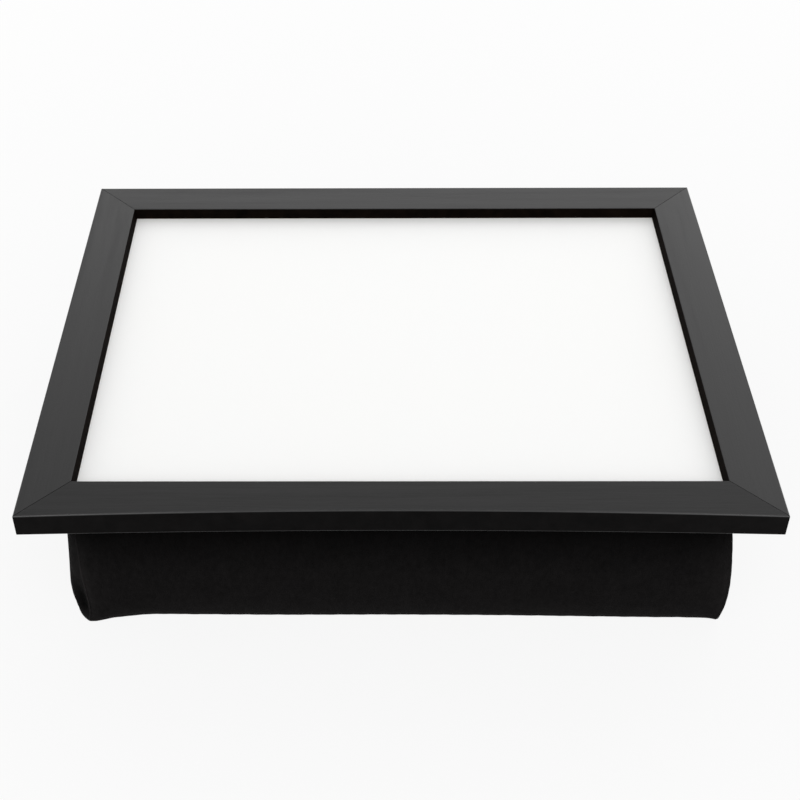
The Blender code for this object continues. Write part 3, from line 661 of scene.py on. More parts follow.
def add_wedge_slot(work, low, high, gap):
    """An L that stands round one wedge and runs out below the rail."""
    side, depth = math.copysign(1, low.x), math.copysign(1, low.y)
    far = Vector((high.x if side > 0 else low.x, high.y if depth > 0 else low.y, 0))
    near = Vector((low.x if side > 0 else high.x, low.y if depth > 0 else high.y, 0))
    outer_x, outer_y = far.x + side * gap, far.y + depth * gap
    end_x, end_y = near.x - side * gap, near.y - depth * gap
    inner_x = far.x - side * (WEDGE_THICKNESS + gap)
    inner_y = far.y - depth * (WEDGE_THICKNESS + gap)
    outline = (
        (outer_x, outer_y), (end_x, outer_y), (end_x, inner_y),
        (inner_x, inner_y), (inner_x, end_y), (outer_x, end_y),
    )
    heights = (low.z - SLOT_OVERCUT, high.z + gap)
    foot, head = ([work.verts.new((x, y, z)) for x, y in outline] for z in heights)
    sides = ring_faces(len(heights), len(outline), caps=False)
    for face in (foot, head, *([(foot + head)[index] for index in side] for side in sides)):
        work.faces.new(face)


def add_box(work, low, high):
    made = bmesh.ops.create_cube(work, size=1)["verts"]
    bmesh.ops.scale(work, verts=made, vec=high - low)
    bmesh.ops.translate(work, verts=made, vec=(low + high) / 2)


def cutter_from(name, work):
    """Makes an object of a bmesh, to be cut from others."""
    bmesh.ops.recalc_face_normals(work, faces=work.faces)
    mesh = bpy.data.meshes.new(name)
    work.to_mesh(mesh)
    work.free()
    return linked(name, mesh)


def fixing_slots(gap):
    """One cutter for every pocket: an L round each wedge and a box round each tab."""
    work = bmesh.new()
    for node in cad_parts:
        low, high = corners_of(node)
        if node.startswith("tab_"):
            add_box(work, low - Vector((gap,) * 3), high + Vector((gap,) * 3))
        if node.startswith("corner_wedge_"):
            add_wedge_slot(work, low, high, gap)
    return cutter_from("fixing_slots", work)


def cut_from(piece, cutter):
    boolean = piece.modifiers.new("cut", "BOOLEAN")
    boolean.operation = "DIFFERENCE"
    boolean.solver = "EXACT"
    boolean.object = cutter
    return settle(piece)


def tube(path, radius, sides, caps=True):
    """Points and faces of a tube along a path of Vectors."""
    points = []
    up = Vector((0.13, 0.21, 0.97))
    for index, place in enumerate(path):
        before = path[max(0, index - 1)]
        after = path[min(len(path) - 1, index + 1)]
        ahead = (after - before).normalized()
        across = ahead.cross(up).normalized()
        above = across.cross(ahead)
        for side in range(sides):
            angle = 2 * math.pi * side / sides
            points.append(place + radius * (math.cos(angle) * across + math.sin(angle) * above))
    return points, ring_faces(len(path), sides, caps)


def joined(parts):
    """Several (points, faces) as one."""
    points, faces = [], []
    for more_points, more_faces in parts:
        start = len(points)
        points += more_points
        faces += [tuple(start + index for index in face) for face in more_faces]
    return points, faces


STITCH_STEPS = 5
STITCH_RISE = 1.1
STITCH_SHARE = 0.13
STITCH_SPACING = 1.35


def stitch(start, end, out, radius):
    """One stitch: a short thread that rises out of the cloth between its two holes."""
    path = []
    for step in range(STITCH_STEPS + 1):
        share = step / STITCH_STEPS
        rise = math.sin(math.pi * share) * radius * STITCH_RISE
        path.append(start.lerp(end, share) + out * rise)
    return tube(path, radius, 6)


def stitches_along(corners, out, sizes):
    """Stitches round a closed outline of points."""
    parts = []
    for index, corner in enumerate(corners):
        after = corners[(index + 1) % len(corners)]
        count = max(1, round((after - corner).length / (sizes.stitch * STITCH_SPACING)))
        for place in range(count):
            start = corner.lerp(after, (place + STITCH_SHARE) / count)
            end = corner.lerp(after, (place + 1 - STITCH_SHARE) / count)
            parts.append(stitch(start, end, out, sizes.thread))
    return parts


def through(heights, shares, z):
    """A smooth line through points, read at every z."""
    heights, shares = numpy.array(heights), numpy.array(shares)
    slopes = numpy.gradient(shares, heights)
    spot = numpy.clip(numpy.searchsorted(heights, z) - 1, 0, len(heights) - 2)
    step = heights[spot + 1] - heights[spot]
    t = numpy.clip((z - heights[spot]) / step, 0, 1)
    rise = t * t * (3 - 2 * t)
    leave = t * (1 - t) ** 2 * step * slopes[spot]
    arrive = -t * t * (1 - t) * step * slopes[spot + 1]
    return shares[spot] * (1 - rise) + shares[spot + 1] * rise + leave + arrive


SEAM_STRIP = 0.0022


def divisions(half, size):
    """Places from -1 to 1, even but for a narrow strip at each end."""
    count = max(2, round(2 * (half - SEAM_STRIP) / size))
    inner = 1 - SEAM_STRIP / half
    return [-1, *(2 * inner * step / count - inner for step in range(count + 1)), 1]


def even_places(count):
    """Places from -1 to 1, so many to each half."""
    return [step / count - 1 for step in range(2 * count + 1)]


def box_shell(*places):
    """Lattice points and quads over the six sides of a box, from the places along each axis."""
    known, points, faces = {}, [], []

    def corner(spot):
        if spot not in known:
            known[spot] = len(points)
            points.append([row[index] for row, index in zip(places, spot)])
        return known[spot]

    for first, second, third in ((0, 1, 2), (0, 2, 1), (1, 2, 0)):
        for start in range(len(places[first]) - 1):
            for side in range(len(places[second]) - 1):
                for end in (0, len(places[third]) - 1):
                    square = []
                    for ahead, aside in ((0, 0), (1, 0), (1, 1), (0, 1)):
                        spot = {first: start + ahead, second: side + aside, third: end}
                        square.append(corner((spot[0], spot[1], spot[2])))
                    faces.append(square)
    return numpy.array(points), faces


# How far the cushion's walls stand out at heights over the floor: left and right and in front
# in metres, and at the back and at the ears as shares of the cushion's back bulge and heel.
SIDE_HEIGHTS = (0, 0.005, 0.013, 0.021, 0.029, 0.044, 0.059, 0.077, 0.0929)
LEFT_SWELL = (0.0092, 0.0107, 0.0127, 0.0131, 0.0126, 0.0114, 0.0099, 0.0077, 0.0052)
LEFT_SEAM = (0.0008, 0.0020, 0.0029, 0.0025, 0.0021, 0.0011, 0.0012, 0.0012, 0.0008)
RIGHT_SWELL = (0.0055, 0.0058, 0.0058, 0.0056, 0.0052, 0.0044, 0.0038, 0.0034, 0.0030)
RIGHT_CORNER = (0.0043, 0.0059, 0.0077, 0.0081, 0.0082, 0.0073, 0.0057, 0.0031, 0.0006)
WALL_HEIGHTS = (0, 0.0030, 0.0116, 0.0278, 0.0464, 0.0774, 0.0929)
BACK_SHARES = (0.05, 0.15, 0.75, 1.0, 0.55, 0.0, 0.0)
FRONT_OUT = (0.0, 0.0014, 0.0046, 0.0070, 0.0062, 0.0030, 0.0004)
EAR_SHARES = (1.0, 1.0, 0.95, 0.85, 0.60, 0.25, 0)
# How far the front's foot stands out, at places from the left corner to the right one.
FOOT_LINE = (-1, -0.975, -0.94, -0.9, -0.86, -0.8, -0.7, -0.4, 0, 0.33, 0.64, 0.8, 0.93, 0.98, 1)
FOOT_OUT = (
    0.0072, 0.0070, 0.0044, 0.0031, 0.0018, 0.0007, 0.0007, 0.0011, 0.0009, 0.0014,
    0.0025, 0.0031, 0.0036, 0.0044, 0.0058,
)
# The power with which each swell ends at a corner: the higher, the more suddenly.
LEFT_END, LEFT_SEAM_END, RIGHT_END, FRONT_END, HEEL_END = 22, 60, 7, 24, 5
ZIP_WALL_FOOT = 0.06
ROUND_OFF = 0.016
TOP_DROP = 0.0016


def stuffed_form(place, sizes, fullness):
    """Where each lattice point lies on the stuffed cushion."""
    u, v, w = place.T
    to_side, to_end = numpy.abs(u), numpy.abs(v)
    z = sizes.seam_rise + w * (sizes.top - sizes.seam_rise)
    left = through(SIDE_HEIGHTS, LEFT_SWELL, z) * (1 - to_end ** LEFT_END)
    left = left - through(SIDE_HEIGHTS, LEFT_SEAM, z) * to_end ** LEFT_SEAM_END
    right = through(SIDE_HEIGHTS, RIGHT_SWELL, z) * (1 - to_end ** RIGHT_END)
    back = sizes.back_bulge * fullness * through(WALL_HEIGHTS, BACK_SHARES, z)
    ear = through(WALL_HEIGHTS, EAR_SHARES, z)
    front = fullness * through(WALL_HEIGHTS, FRONT_OUT, z)
    foot = through(FOOT_LINE, FOOT_OUT, u) * ear
    inside = 1 - to_side ** FRONT_END
    ahead = (1 - v) / 2
    corner = through(SIDE_HEIGHTS, RIGHT_CORNER, z) * ahead + sizes.right_reach * ear * (1 - ahead)
    half_x = sizes.seam_x + fullness * numpy.where(u < 0, left, right)
    half_x = half_x + corner * numpy.clip(u, 0, 1)
    half_front = sizes.seam_y + front * inside + foot
    half_back = sizes.seam_y + back * inside + sizes.heel * ear * to_side ** HEEL_END
    zip_wall = numpy.minimum(half_back, sizes.seam_y)
    half_back = numpy.where(z > ZIP_WALL_FOOT, zip_wall, half_back)
    y = v * numpy.where(v < 0, half_front, half_back)
    edge = numpy.minimum((1 - to_side) * sizes.seam_x, (1 - to_end) * sizes.seam_y)
    close = numpy.clip(1 - edge / ROUND_OFF, 0, 1) ** 2
    z = numpy.where(w <= 0, sizes.seam_rise * close, z)
    z = numpy.where(w >= 1, sizes.top - TOP_DROP * close, z)
    return numpy.stack([u * half_x, y, z], axis=1)


def rows_of(data, key):
    """What a mesh stores under a key, as an array with a row of three for each point."""
    flat = numpy.empty(len(data) * 3, dtype=numpy.float32)
    data.foreach_get(key, flat)
    return flat.reshape(-1, 3).astype(float)


def set_points(mesh, points):
    mesh.vertices.foreach_set("co", points.astype(numpy.float32).ravel())
    mesh.update()


def mark(mesh, name, values):
    """Stores a value for each point, for a finish to read."""
    marks = mesh.attributes.new(name, "FLOAT", "POINT")
    marks.data.foreach_set("value", numpy.array(values, dtype=numpy.float32))


SEAM_CREASE = 0.85


def crease_seams(mesh, place):
    """Keeps the edges where two panels meet from being smoothed away."""
    sides = numpy.hstack([place <= (-1, -1, 0), place >= (1, 1, 1)])
    layer = mesh.attributes.new("crease_edge", "FLOAT", "EDGE")
    for edge in mesh.edges:
        first, second = edge.vertices
        if (sides[first] & sides[second]).sum() == 2:
            layer.data[edge.index].value = SEAM_CREASE


def spread(mesh, values, rounds):
    """Evens a value out over a mesh, each round over every point's neighbours."""
    pairs = numpy.empty(len(mesh.edges) * 2, dtype=numpy.int32)
    mesh.edges.foreach_get("vertices", pairs)
    first, second = pairs.reshape(-1, 2).T
    count = numpy.bincount(pairs, minlength=len(values))[:, None]
    for step in range(rounds):
        total = numpy.zeros_like(values)
        numpy.add.at(total, first, values[second])
        numpy.add.at(total, second, values[first])
        values = 0.5 * values + 0.5 * total / count
    return values


CLOTH = {
    "quality": 6,
    "mass": 0.15,
    "use_pressure": True,
    "tension_stiffness": 25,
    "compression_stiffness": 20,
    "shear_stiffness": 8,
    "bending_stiffness": 2.5,
    "air_damping": 4,
    "pin_stiffness": 1,
}
CLOTH_FRAMES = 20
PINNED, CORNER_HOLD = 1.0, 0.55
PINNED_WALL_FOOT = 0.058
FORM_ROUNDS = 60


def swell(piece, place, sizes):
    """Lets the beads press the cloth walls out, and sets the creases that makes on the form."""
    start = rows_of(piece.data.vertices, "co")
    held = piece.vertex_groups.new(name="held")
    u, v, w = place.T
    pinned = (w <= 0) | (w >= 1) | ((v >= 1) & (start[:, 2] > PINNED_WALL_FOOT))
    corner_edges = (numpy.abs(u) >= 1) & (numpy.abs(v) >= 1) & ~pinned
    for spots, hold in ((pinned, PINNED), (corner_edges, CORNER_HOLD)):
        held.add(numpy.flatnonzero(spots).tolist(), hold, "REPLACE")
    cloth = piece.modifiers.new("stuffing", "CLOTH")
    for key, value in CLOTH.items():
        setattr(cloth.settings, key, value)
    cloth.settings.uniform_pressure_force = sizes.pressure
    cloth.settings.effector_weights.gravity = 0
    cloth.settings.vertex_group_mass = "held"
    cloth.collision_settings.use_collision = False
    scene = bpy.context.scene
    for step in range(1, CLOTH_FRAMES + 1):
        scene.frame_set(step)
    evaluated = piece.evaluated_get(bpy.context.evaluated_depsgraph_get())
    swollen = rows_of(evaluated.data.vertices, "co")
    piece.modifiers.clear()
    scene.frame_set(1)
    move = swollen - start
    if not numpy.isfinite(move).all():
        raise RuntimeError("the cushion's cloth left its place")
    creases = move - spread(piece.data, move, FORM_ROUNDS)
    distance = numpy.linalg.norm(creases, axis=1, keepdims=True)
    capped = sizes.swell_cap * numpy.tanh(distance / sizes.swell_cap)
    creases = creases * capped / (distance + 1e-9)
    set_points(piece.data, stuffed_form(place, sizes, 1) + creases)


def ridge(distance, height, centre, width):
    """A height at the centre, and hardly anything from two widths away on."""
    return height * numpy.exp(-(((distance - centre) / width) ** 2))


GROOVE_WIDTH = 0.0016
LIP = (0.0003, 0.0042, 0.0022)
PUCKER = (0.00022, 0.006, 0.0065)
PUCKER_LENGTH, BEAT_LENGTH, BEAT_START = 0.0135, 0.0371, 1.3
LUMP, LUMP_FADE = 0.0004, 0.02
TUCK_PLACE, TUCK_WIDTH = 0.0032, 0.0018
TUCK_FOOT, TUCK_FOOT_FADE, TUCK_TOP, TUCK_TOP_FADE = 0.0025, 0.007, 0.038, 0.018
TUCK_SHADE, TUCK_SHADE_WIDTH = 0.004, 0.0035
HIGHLIGHT_WIDTH, WELT_HIGHLIGHT = 0.0072, 2.4
ZIP_BAND_HALF, ZIP_BAND_END, BACK_START = 0.0125, 0.80, 0.12


def sew_seams(mesh, sizes, zip_height):
    """Draws the cloth in along every seam, and gathers it in small puckers beside it."""
    u, v, w = rows_of(mesh.attributes["cut_place"].data, "vector").T
    normals = rows_of(mesh.vertices, "normal")
    points = rows_of(mesh.vertices, "co")
    x, y, z = points.T
    from_side = (1 - numpy.abs(u)) * sizes.seam_x
    from_end = (1 - numpy.abs(v)) * sizes.seam_y
    from_rim = numpy.minimum(1 - w, w) * sizes.top
    seam = numpy.sort(numpy.stack([from_side, from_end, from_rim]), axis=0)[1]
    on_upright = from_rim > numpy.maximum(from_side, from_end)
    along = numpy.where(on_upright, z, x + y)
    end_wall = on_upright & (from_end <= from_side)
    groove = numpy.where(end_wall, 0, ridge(seam, -sizes.seam_groove, 0, GROOVE_WIDTH))
    beat = numpy.sin(along * 2 * math.pi / BEAT_LENGTH + BEAT_START)
    pucker = numpy.sin(along * 2 * math.pi / PUCKER_LENGTH) * beat * ridge(seam, *PUCKER)
    lump = numpy.sin(x * 61 + 2 * numpy.sin(z * 47)) * numpy.sin(y * 73 + z * 58 + 0.6)
    lump = LUMP * lump * numpy.clip(seam / LUMP_FADE, 0, 1)
    low = numpy.clip((TUCK_TOP - z) / TUCK_TOP_FADE, 0, 1)
    low = low * numpy.clip((z - TUCK_FOOT) / TUCK_FOOT_FADE, 0, 1)
    side_wall = low * (numpy.abs(u) > 0.9999)
    tuck = side_wall * ridge(from_end, -sizes.seam_tuck, TUCK_PLACE, TUCK_WIDTH)
    # Painted shade: the cloth is marked to be painted darker in the crease beside each upright
    # seam's foot.
    past_tuck = numpy.clip(from_end - TUCK_SHADE, 0, 1)
    mark(mesh, "tuck_painted_shade", side_wall * ridge(past_tuck, 1, 0, TUCK_SHADE_WIDTH))
    # Painted highlight: the cloth is marked to be painted lighter near every seam.
    mark(mesh, "painted_highlight", numpy.exp(-seam / HIGHLIGHT_WIDTH))
    points += normals * (groove + ridge(seam, *LIP) + pucker + lump + tuck)[:, None]
    x, y, z = points.T
    z[:] = numpy.clip(z, 0, sizes.top)
    high_back = (y > BACK_START) & (z > ZIP_WALL_FOOT)
    y[high_back] = numpy.minimum(y[high_back], sizes.seam_y)
    by_zip = (numpy.abs(z - zip_height) < ZIP_BAND_HALF) & (numpy.abs(u) < ZIP_BAND_END)
    y[(v >= 0.999) & by_zip] = sizes.seam_y
    set_points(mesh, points)


def seam_welts(mesh, sizes):
    """A thin fold of cloth along each of the seams where two panels meet."""
    place = rows_of(mesh.attributes["cut_place"].data, "vector")
    points = rows_of(mesh.vertices, "co")
    ends = ((-1, 1), (-1, 1), (0, 1))
    parts = []
    for axis in range(3):
        first, second = [other for other in range(3) if other != axis]
        inset = 0.5 * sizes.welt if axis == 2 else 0
        for here in ends[first]:
            for there in ends[second]:
                off = numpy.abs(place[:, first] - here) + numpy.abs(place[:, second] - there)
                on_seam = numpy.flatnonzero(off < 0.0001)
                on_seam = on_seam[numpy.argsort(place[on_seam, axis])]
                shift = inset * Vector((here, -there, 0))
                path = [Vector(points[index]) + shift for index in on_seam]
                parts.append(tube(path, sizes.welt, 8))
    return parts


def settings_of(context):
    return context.scene.breakfast_tray


class TRAY_OT_rails(bpy.types.Operator):
    """Makes the four mitred rails, with their rebate and the slots for the fixings"""

    bl_idname = "tray.rails"
    bl_label = "Rails"

    def execute(self, context):
        tray = settings_of(context)
        sizes, colours = tray.rails, tray.colours
        wood = bare_wood(colours.wood)
        # Both films are painted darker than the top's film, as shade.
        inner = matt_film("inner_film", colours.inner_film, "X", dark_share=0.4, gloss=0.015)
        outers, arrises = {}, {}
        for along in "XY":
            name = "outer_film_" + along
            outers[along] = matt_film(name, colours.outer_film, along, dark_share=0.6, gloss=0.05)
            arrises[along] = arris_with_painted_highlight("arris_film_" + along, colours.film, along)
        cutter = fixing_slots(sizes.gap)
        for quarter, name in enumerate(RAILS):
            along = "XY"[quarter % 2]
            hollow = (sizes.foot_hollow, sizes.rim_hollow) if name == "front" else (0, 0)
            mesh = rail_shape(name, sizes, quarter, hollow)
            film = satin_film("satin_film_" + name, colours.film, along, FILM_GLOSS[name])
            for finish in (film, outers[along], wood, inner, arrises[along]):
                mesh.materials.append(finish)
            rail = linked(name + "_rail", mesh)
            sharpen(cut_from(rail, cutter), EDGE_ANGLE)
            rail.modifiers.new("even_shading", "WEIGHTED_NORMAL").keep_sharp = True
            hand_over(rail, "tray", ["rail_" + name])
        bpy.data.objects.remove(cutter)
        return {"FINISHED"}


class TRAY_OT_boards(bpy.types.Operator):
    """Finishes the laminate face, the panel board and the backing board"""

    bl_idname = "tray.boards"
    bl_label = "Boards"

    def execute(self, context):
        colours = settings_of(context).colours
        fibreboard = pressed_board("panel_fibreboard", colours.fibreboard)
        hardboard = pressed_board("backing_hardboard", colours.hardboard, screen=0.0016)
        dress("laminate_face", white_melamine(colours.melamine), bevel=0.0001)
        dress("panel_board", fibreboard, bevel=0.0002)
        dress("backing_board", hardboard, bevel=0.0002)
        return {"FINISHED"}


class TRAY_OT_fixings(bpy.types.Operator):
    """Finishes the steel wedges and tabs"""

    bl_idname = "tray.fixings"
    bl_label = "Fixings"

    def execute(self, context):
        steel = sheared_steel(settings_of(context).colours.steel)
        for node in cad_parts:
            if node.startswith(("corner_wedge_", "tab_")):
                dress(node, steel, bevel=0.00008)
        return {"FINISHED"}


HOOK_PLATE, LOOP_PLATE, PLATE_EDGE = 0.0009, 0.0007, 0.00012
HOOK_MARGINS, HOOK_START = (0.004, 0.003), (0.0022, 0.0018)
HOOK_CURL, HOOK_REACH, HOOK_BARB = 0.00022, 0.00046, 0.00024
LOOP_MARGINS, LOOP_START = (0.006, 0.005), (0.0034, 0.0030)
LOOP_ROOT, LOOP_JITTER, LOOP_REACH, LOOP_RISE = 0.0006, 0.3, (0.0004, 0.0008), (0.45, 1.0)
LOOP_STEPS, PILE_SEED = 5, 7
SEWN_HEIGHT, SEWN_INSET = 0.00062, 0.0016
CLEARANCE = 0.0001


def strip_outline(low, high, inset, radius):
    """The rounded outline of a strip, drawn in all round."""
    near, far = (low[0] + inset, low[1] + inset), (high[0] - inset, high[1] - inset)
    return rounded_rectangle(near, far, radius)


def strip_plate(low, high, radius, base, top):
    """A thin plate with rounded corners and softened edges."""
    levels = (
        (PLATE_EDGE, base), (0, base + PLATE_EDGE), (0, top - PLATE_EDGE), (PLATE_EDGE, top),
    )
    points = []
    for inset, z in levels:
        ring = strip_outline(low, high, inset, radius)
        points += [Vector((point.x, point.y, z)) for point in ring]
    return points, ring_faces(len(levels), len(ring))


class TRAY_OT_hook_and_loop(bpy.types.Operator):
    """Makes the hook strips on the tray and the loop strips sewn to the cushion"""

    bl_idname = "tray.hook_and_loop"
    bl_label = "Hook and loop"

    def grid(self, low, high, margins, pitch):
        """The rows and columns that fit on a strip inside its margins."""
        columns, rows = (int((high[axis] - low[axis] - margins[axis]) / pitch) for axis in (0, 1))
        return [(row, column) for row in range(rows) for column in range(columns)]

    def hooks(self, low, high, sizes):
        """Rows of bristles that curl over at the tip, hanging from the strip."""
        parts = []
        root, tip = high[2] - HOOK_PLATE, low[2] + CLEARANCE
        for row, column in self.grid(low, high, HOOK_MARGINS, sizes.hook_pitch):
            x = low[0] + HOOK_START[0] + (column + 0.5 * (row % 2)) * sizes.hook_pitch
            y = low[1] + HOOK_START[1] + row * sizes.hook_pitch
            lean = 1 if row % 2 else -1
            path = [
                Vector((x, y, root)),
                Vector((x, y, tip + HOOK_CURL)),
                Vector((x + lean * HOOK_CURL, y, tip)),
                Vector((x + lean * HOOK_REACH, y, tip + HOOK_BARB)),
            ]
            parts.append(tube(path, sizes.bristle, 4))
        return parts

    def pile(self, low, high, sizes):
        """Loops of the pile, each a small arch turned at random."""
        chance = random.Random(PILE_SEED)
        parts = []
        base = low[2] + LOOP_ROOT
        for row, column in self.grid(low, high, LOOP_MARGINS, sizes.loop_pitch):
            column += chance.uniform(-LOOP_JITTER, LOOP_JITTER)
            row += chance.uniform(-LOOP_JITTER, LOOP_JITTER)
            x = low[0] + LOOP_START[0] + column * sizes.loop_pitch
            y = low[1] + LOOP_START[1] + row * sizes.loop_pitch
            turn = chance.uniform(0, math.pi)
            reach = chance.uniform(*LOOP_REACH)
            rise = chance.uniform(*LOOP_RISE) * (high[2] - base - CLEARANCE)
            path = []
            for step in range(LOOP_STEPS + 1):
                angle = math.pi * step / LOOP_STEPS
                away = reach * math.cos(angle)
                spot = (x + away * math.cos(turn), y + away * math.sin(turn))
                path.append(Vector((*spot, base + rise * math.sin(angle))))
            parts.append(tube(path, sizes.bristle * 0.8, 3, caps=False))
        return parts

    def stitching(self, low, high, tray):
        """A line of stitches along each straight side of a strip."""
        outline = strip_outline(low, high, SEWN_INSET, tray.tapes.corner)
        line = [Vector((point.x, point.y, low[2] + SEWN_HEIGHT)) for point in outline]
        parts = []
        corner_points = CORNER_STEPS + 1
        for index in range(CORNER_STEPS, 4 * corner_points, corner_points):
            ends = [line[index], line[(index + 1) % len(line)]]
            parts += stitches_along(ends, Vector((0, 0, 1)), tray.zip)
        return parts

    def execute(self, context):
        tray = settings_of(context)
        sizes, colours = tray.tapes, tray.colours
        hook_tape = woven_tape("hook_tape", colours.tape, 0.0007, "Y")
        loop_tape = woven_tape("loop_tape", shaded(colours.tape, 0.8), 0.0007, "Y")
        bristle = drawn_nylon("hook_bristle", shaded(colours.tape, 1.3), roughness=0.4)
        thread = twisted_thread(colours.tape)
        for corner in CORNERS:
            node = "hook_strip_" + corner
            low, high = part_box(node)
            plate = strip_plate(low, high, sizes.corner, high[2] - HOOK_PLATE, high[2])
            shape = joined([plate, *self.hooks(low, high, sizes)])
            owner = ("tray", "hook_tape", node)
            strip = new_piece("hook_tape_" + corner, shape, hook_tape, *owner, smooth=False)
            strip.data.materials.append(bristle)
            hook_faces = len(shape[1]) - len(plate[1])
            finishes = [0] * len(plate[1]) + [1] * hook_faces
            strip.data.polygons.foreach_set("material_index", finishes)
            node = "loop_strip_" + corner
            low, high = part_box(node)
            plate = strip_plate(low, high, sizes.corner, low[2], low[2] + LOOP_PLATE)
            shape = joined([plate, *self.pile(low, high, sizes)])
            owner = ("cushion", "loop_tape", node)
            new_piece("loop_tape_" + corner, shape, loop_tape, *owner, smooth=False)
            stitches = joined(self.stitching(low, high, tray))
            new_piece("loop_stitching_" + corner, stitches, thread, "cushion", "loop_tape")
        return {"FINISHED"}


SLOT_HALF = 0.0043


def zip_reach():
    """How far the zip runs to either side, out to the end of its bottom stop."""
    low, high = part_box("zip_bottom_stop")
    return max(abs(low[0]), abs(high[0]))


class TRAY_OT_cushion(bpy.types.Operator):
    """Makes the stuffed cover, swells it as cloth and sews its seams"""

    bl_idname = "tray.cushion"
    bl_label = "Cushion"

    def execute(self, context):
        tray = settings_of(context)
        sizes = tray.cushion
        across = divisions(sizes.seam_x, sizes.weave_size)
        depths = divisions(sizes.seam_y, sizes.weave_size)
        rows = [(row + 1) / 2 for row in divisions(sizes.top / 2, sizes.weave_size)]
        place, faces = box_shell(across, depths, rows)
        fullness = 0.75
        mesh = mesh_from("stuffed_cover", stuffed_form(place, sizes, fullness), faces)
        layer = mesh.attributes.new("cut_place", "FLOAT_VECTOR", "POINT")
        layer.data.foreach_set("vector", place.astype(numpy.float32).ravel())
        crease_seams(mesh, place)
        cover = linked("stuffed_cover", mesh)
        swell(cover, place, sizes)
        smooth_over(cover)
        mesh = settle(cover)
        sew_seams(mesh, sizes, tray.zip.height)
        welts = joined(seam_welts(mesh, sizes))
        mesh = self.cut_zip_slot(cover, tray)
        cloth = brushed_cloth(tray.colours.cloth)
        mesh.materials.clear()
        mesh.materials.append(cloth)
        mesh.polygons.foreach_set("material_index", [0] * len(mesh.polygons))
        sharpen(mesh, FOLD_ANGLE)
        hand_over(cover, "cushion", ["cushion_cover"])
        seams = new_piece("cover_seams", welts, cloth, "cushion", "cover_cloth").data
        # Painted highlight: the welts are marked to be painted lighter than the cloth beside them.
        mark(seams, "painted_highlight", [WELT_HIGHLIGHT] * len(seams.vertices))
        return {"FINISHED"}

    def cut_zip_slot(self, cover, tray):
        """Opens the back wall along the zip, as deep as the tapes behind it."""
        reach = zip_reach() + tray.rails.gap
        tape_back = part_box("zip_tape_upper")[0][1] - tray.rails.gap
        low = Vector((-reach, tape_back, tray.zip.height - SLOT_HALF))
        high = Vector((reach, tray.cushion.seam_y + 0.02, tray.zip.height + SLOT_HALF))
        work = bmesh.new()
        add_box(work, low, high)
        cutter = cutter_from("zip_slot", work)
        mesh = cut_from(cover, cutter)
        bpy.data.objects.remove(cutter)
        return mesh


LINER_FILL = 0.985
LINER_SLACK, LUMP_HEIGHT = 0.010, 0.010
LINER_ROUNDNESS = 2.6


class TRAY_OT_liner(bpy.types.Operator):
    """Makes the lumpy bag of beads inside the cover"""

    bl_idname = "tray.liner"
    bl_label = "Liner"

    def execute(self, context):
        low, high = corners_of("bead_liner")
        middle, half = (low + high) / 2, (high - low) / 2
        place, faces = box_shell(even_places(20), even_places(20), even_places(8))
        u, v, w = place.T
        lumps = LUMP_HEIGHT * numpy.sin(u * 9 + 1) * numpy.sin(v * 7 + w * 3)
        corner = place ** 8 / LINER_ROUNDNESS
        round_off = numpy.sqrt(1 - corner[:, [1, 2, 0]] - corner[:, [2, 0, 1]])
        form = place * round_off * (1 - LINER_SLACK + lumps[:, None])
        form = numpy.clip(form, -1, 1) * numpy.array(half) * LINER_FILL + numpy.array(middle)
        cotton = cotton_cloth(settings_of(context).colours.liner)
        owner = ("cushion", "liner_cloth", "bead_liner")
        bag = new_piece("bead_bag", (form, faces), cotton, *owner)
        smooth_over(bag)
        return {"FINISHED"}


HEM_HALF, HEM_GAP, HEM_CORNER = 0.0044, 0.0004, 0.0012
HEM_PROFILE = (
    (0, -0.0004), (0.0001, 0.0003), (0.0009, 0.0006), (0.0046, 0.0005), (0.0058, -0.0002),
)
SEWN_REACH, SEWN_HALF, SEWN_RISE = 0.1475, 0.0076, 0.00055
TURN_STEPS = 12


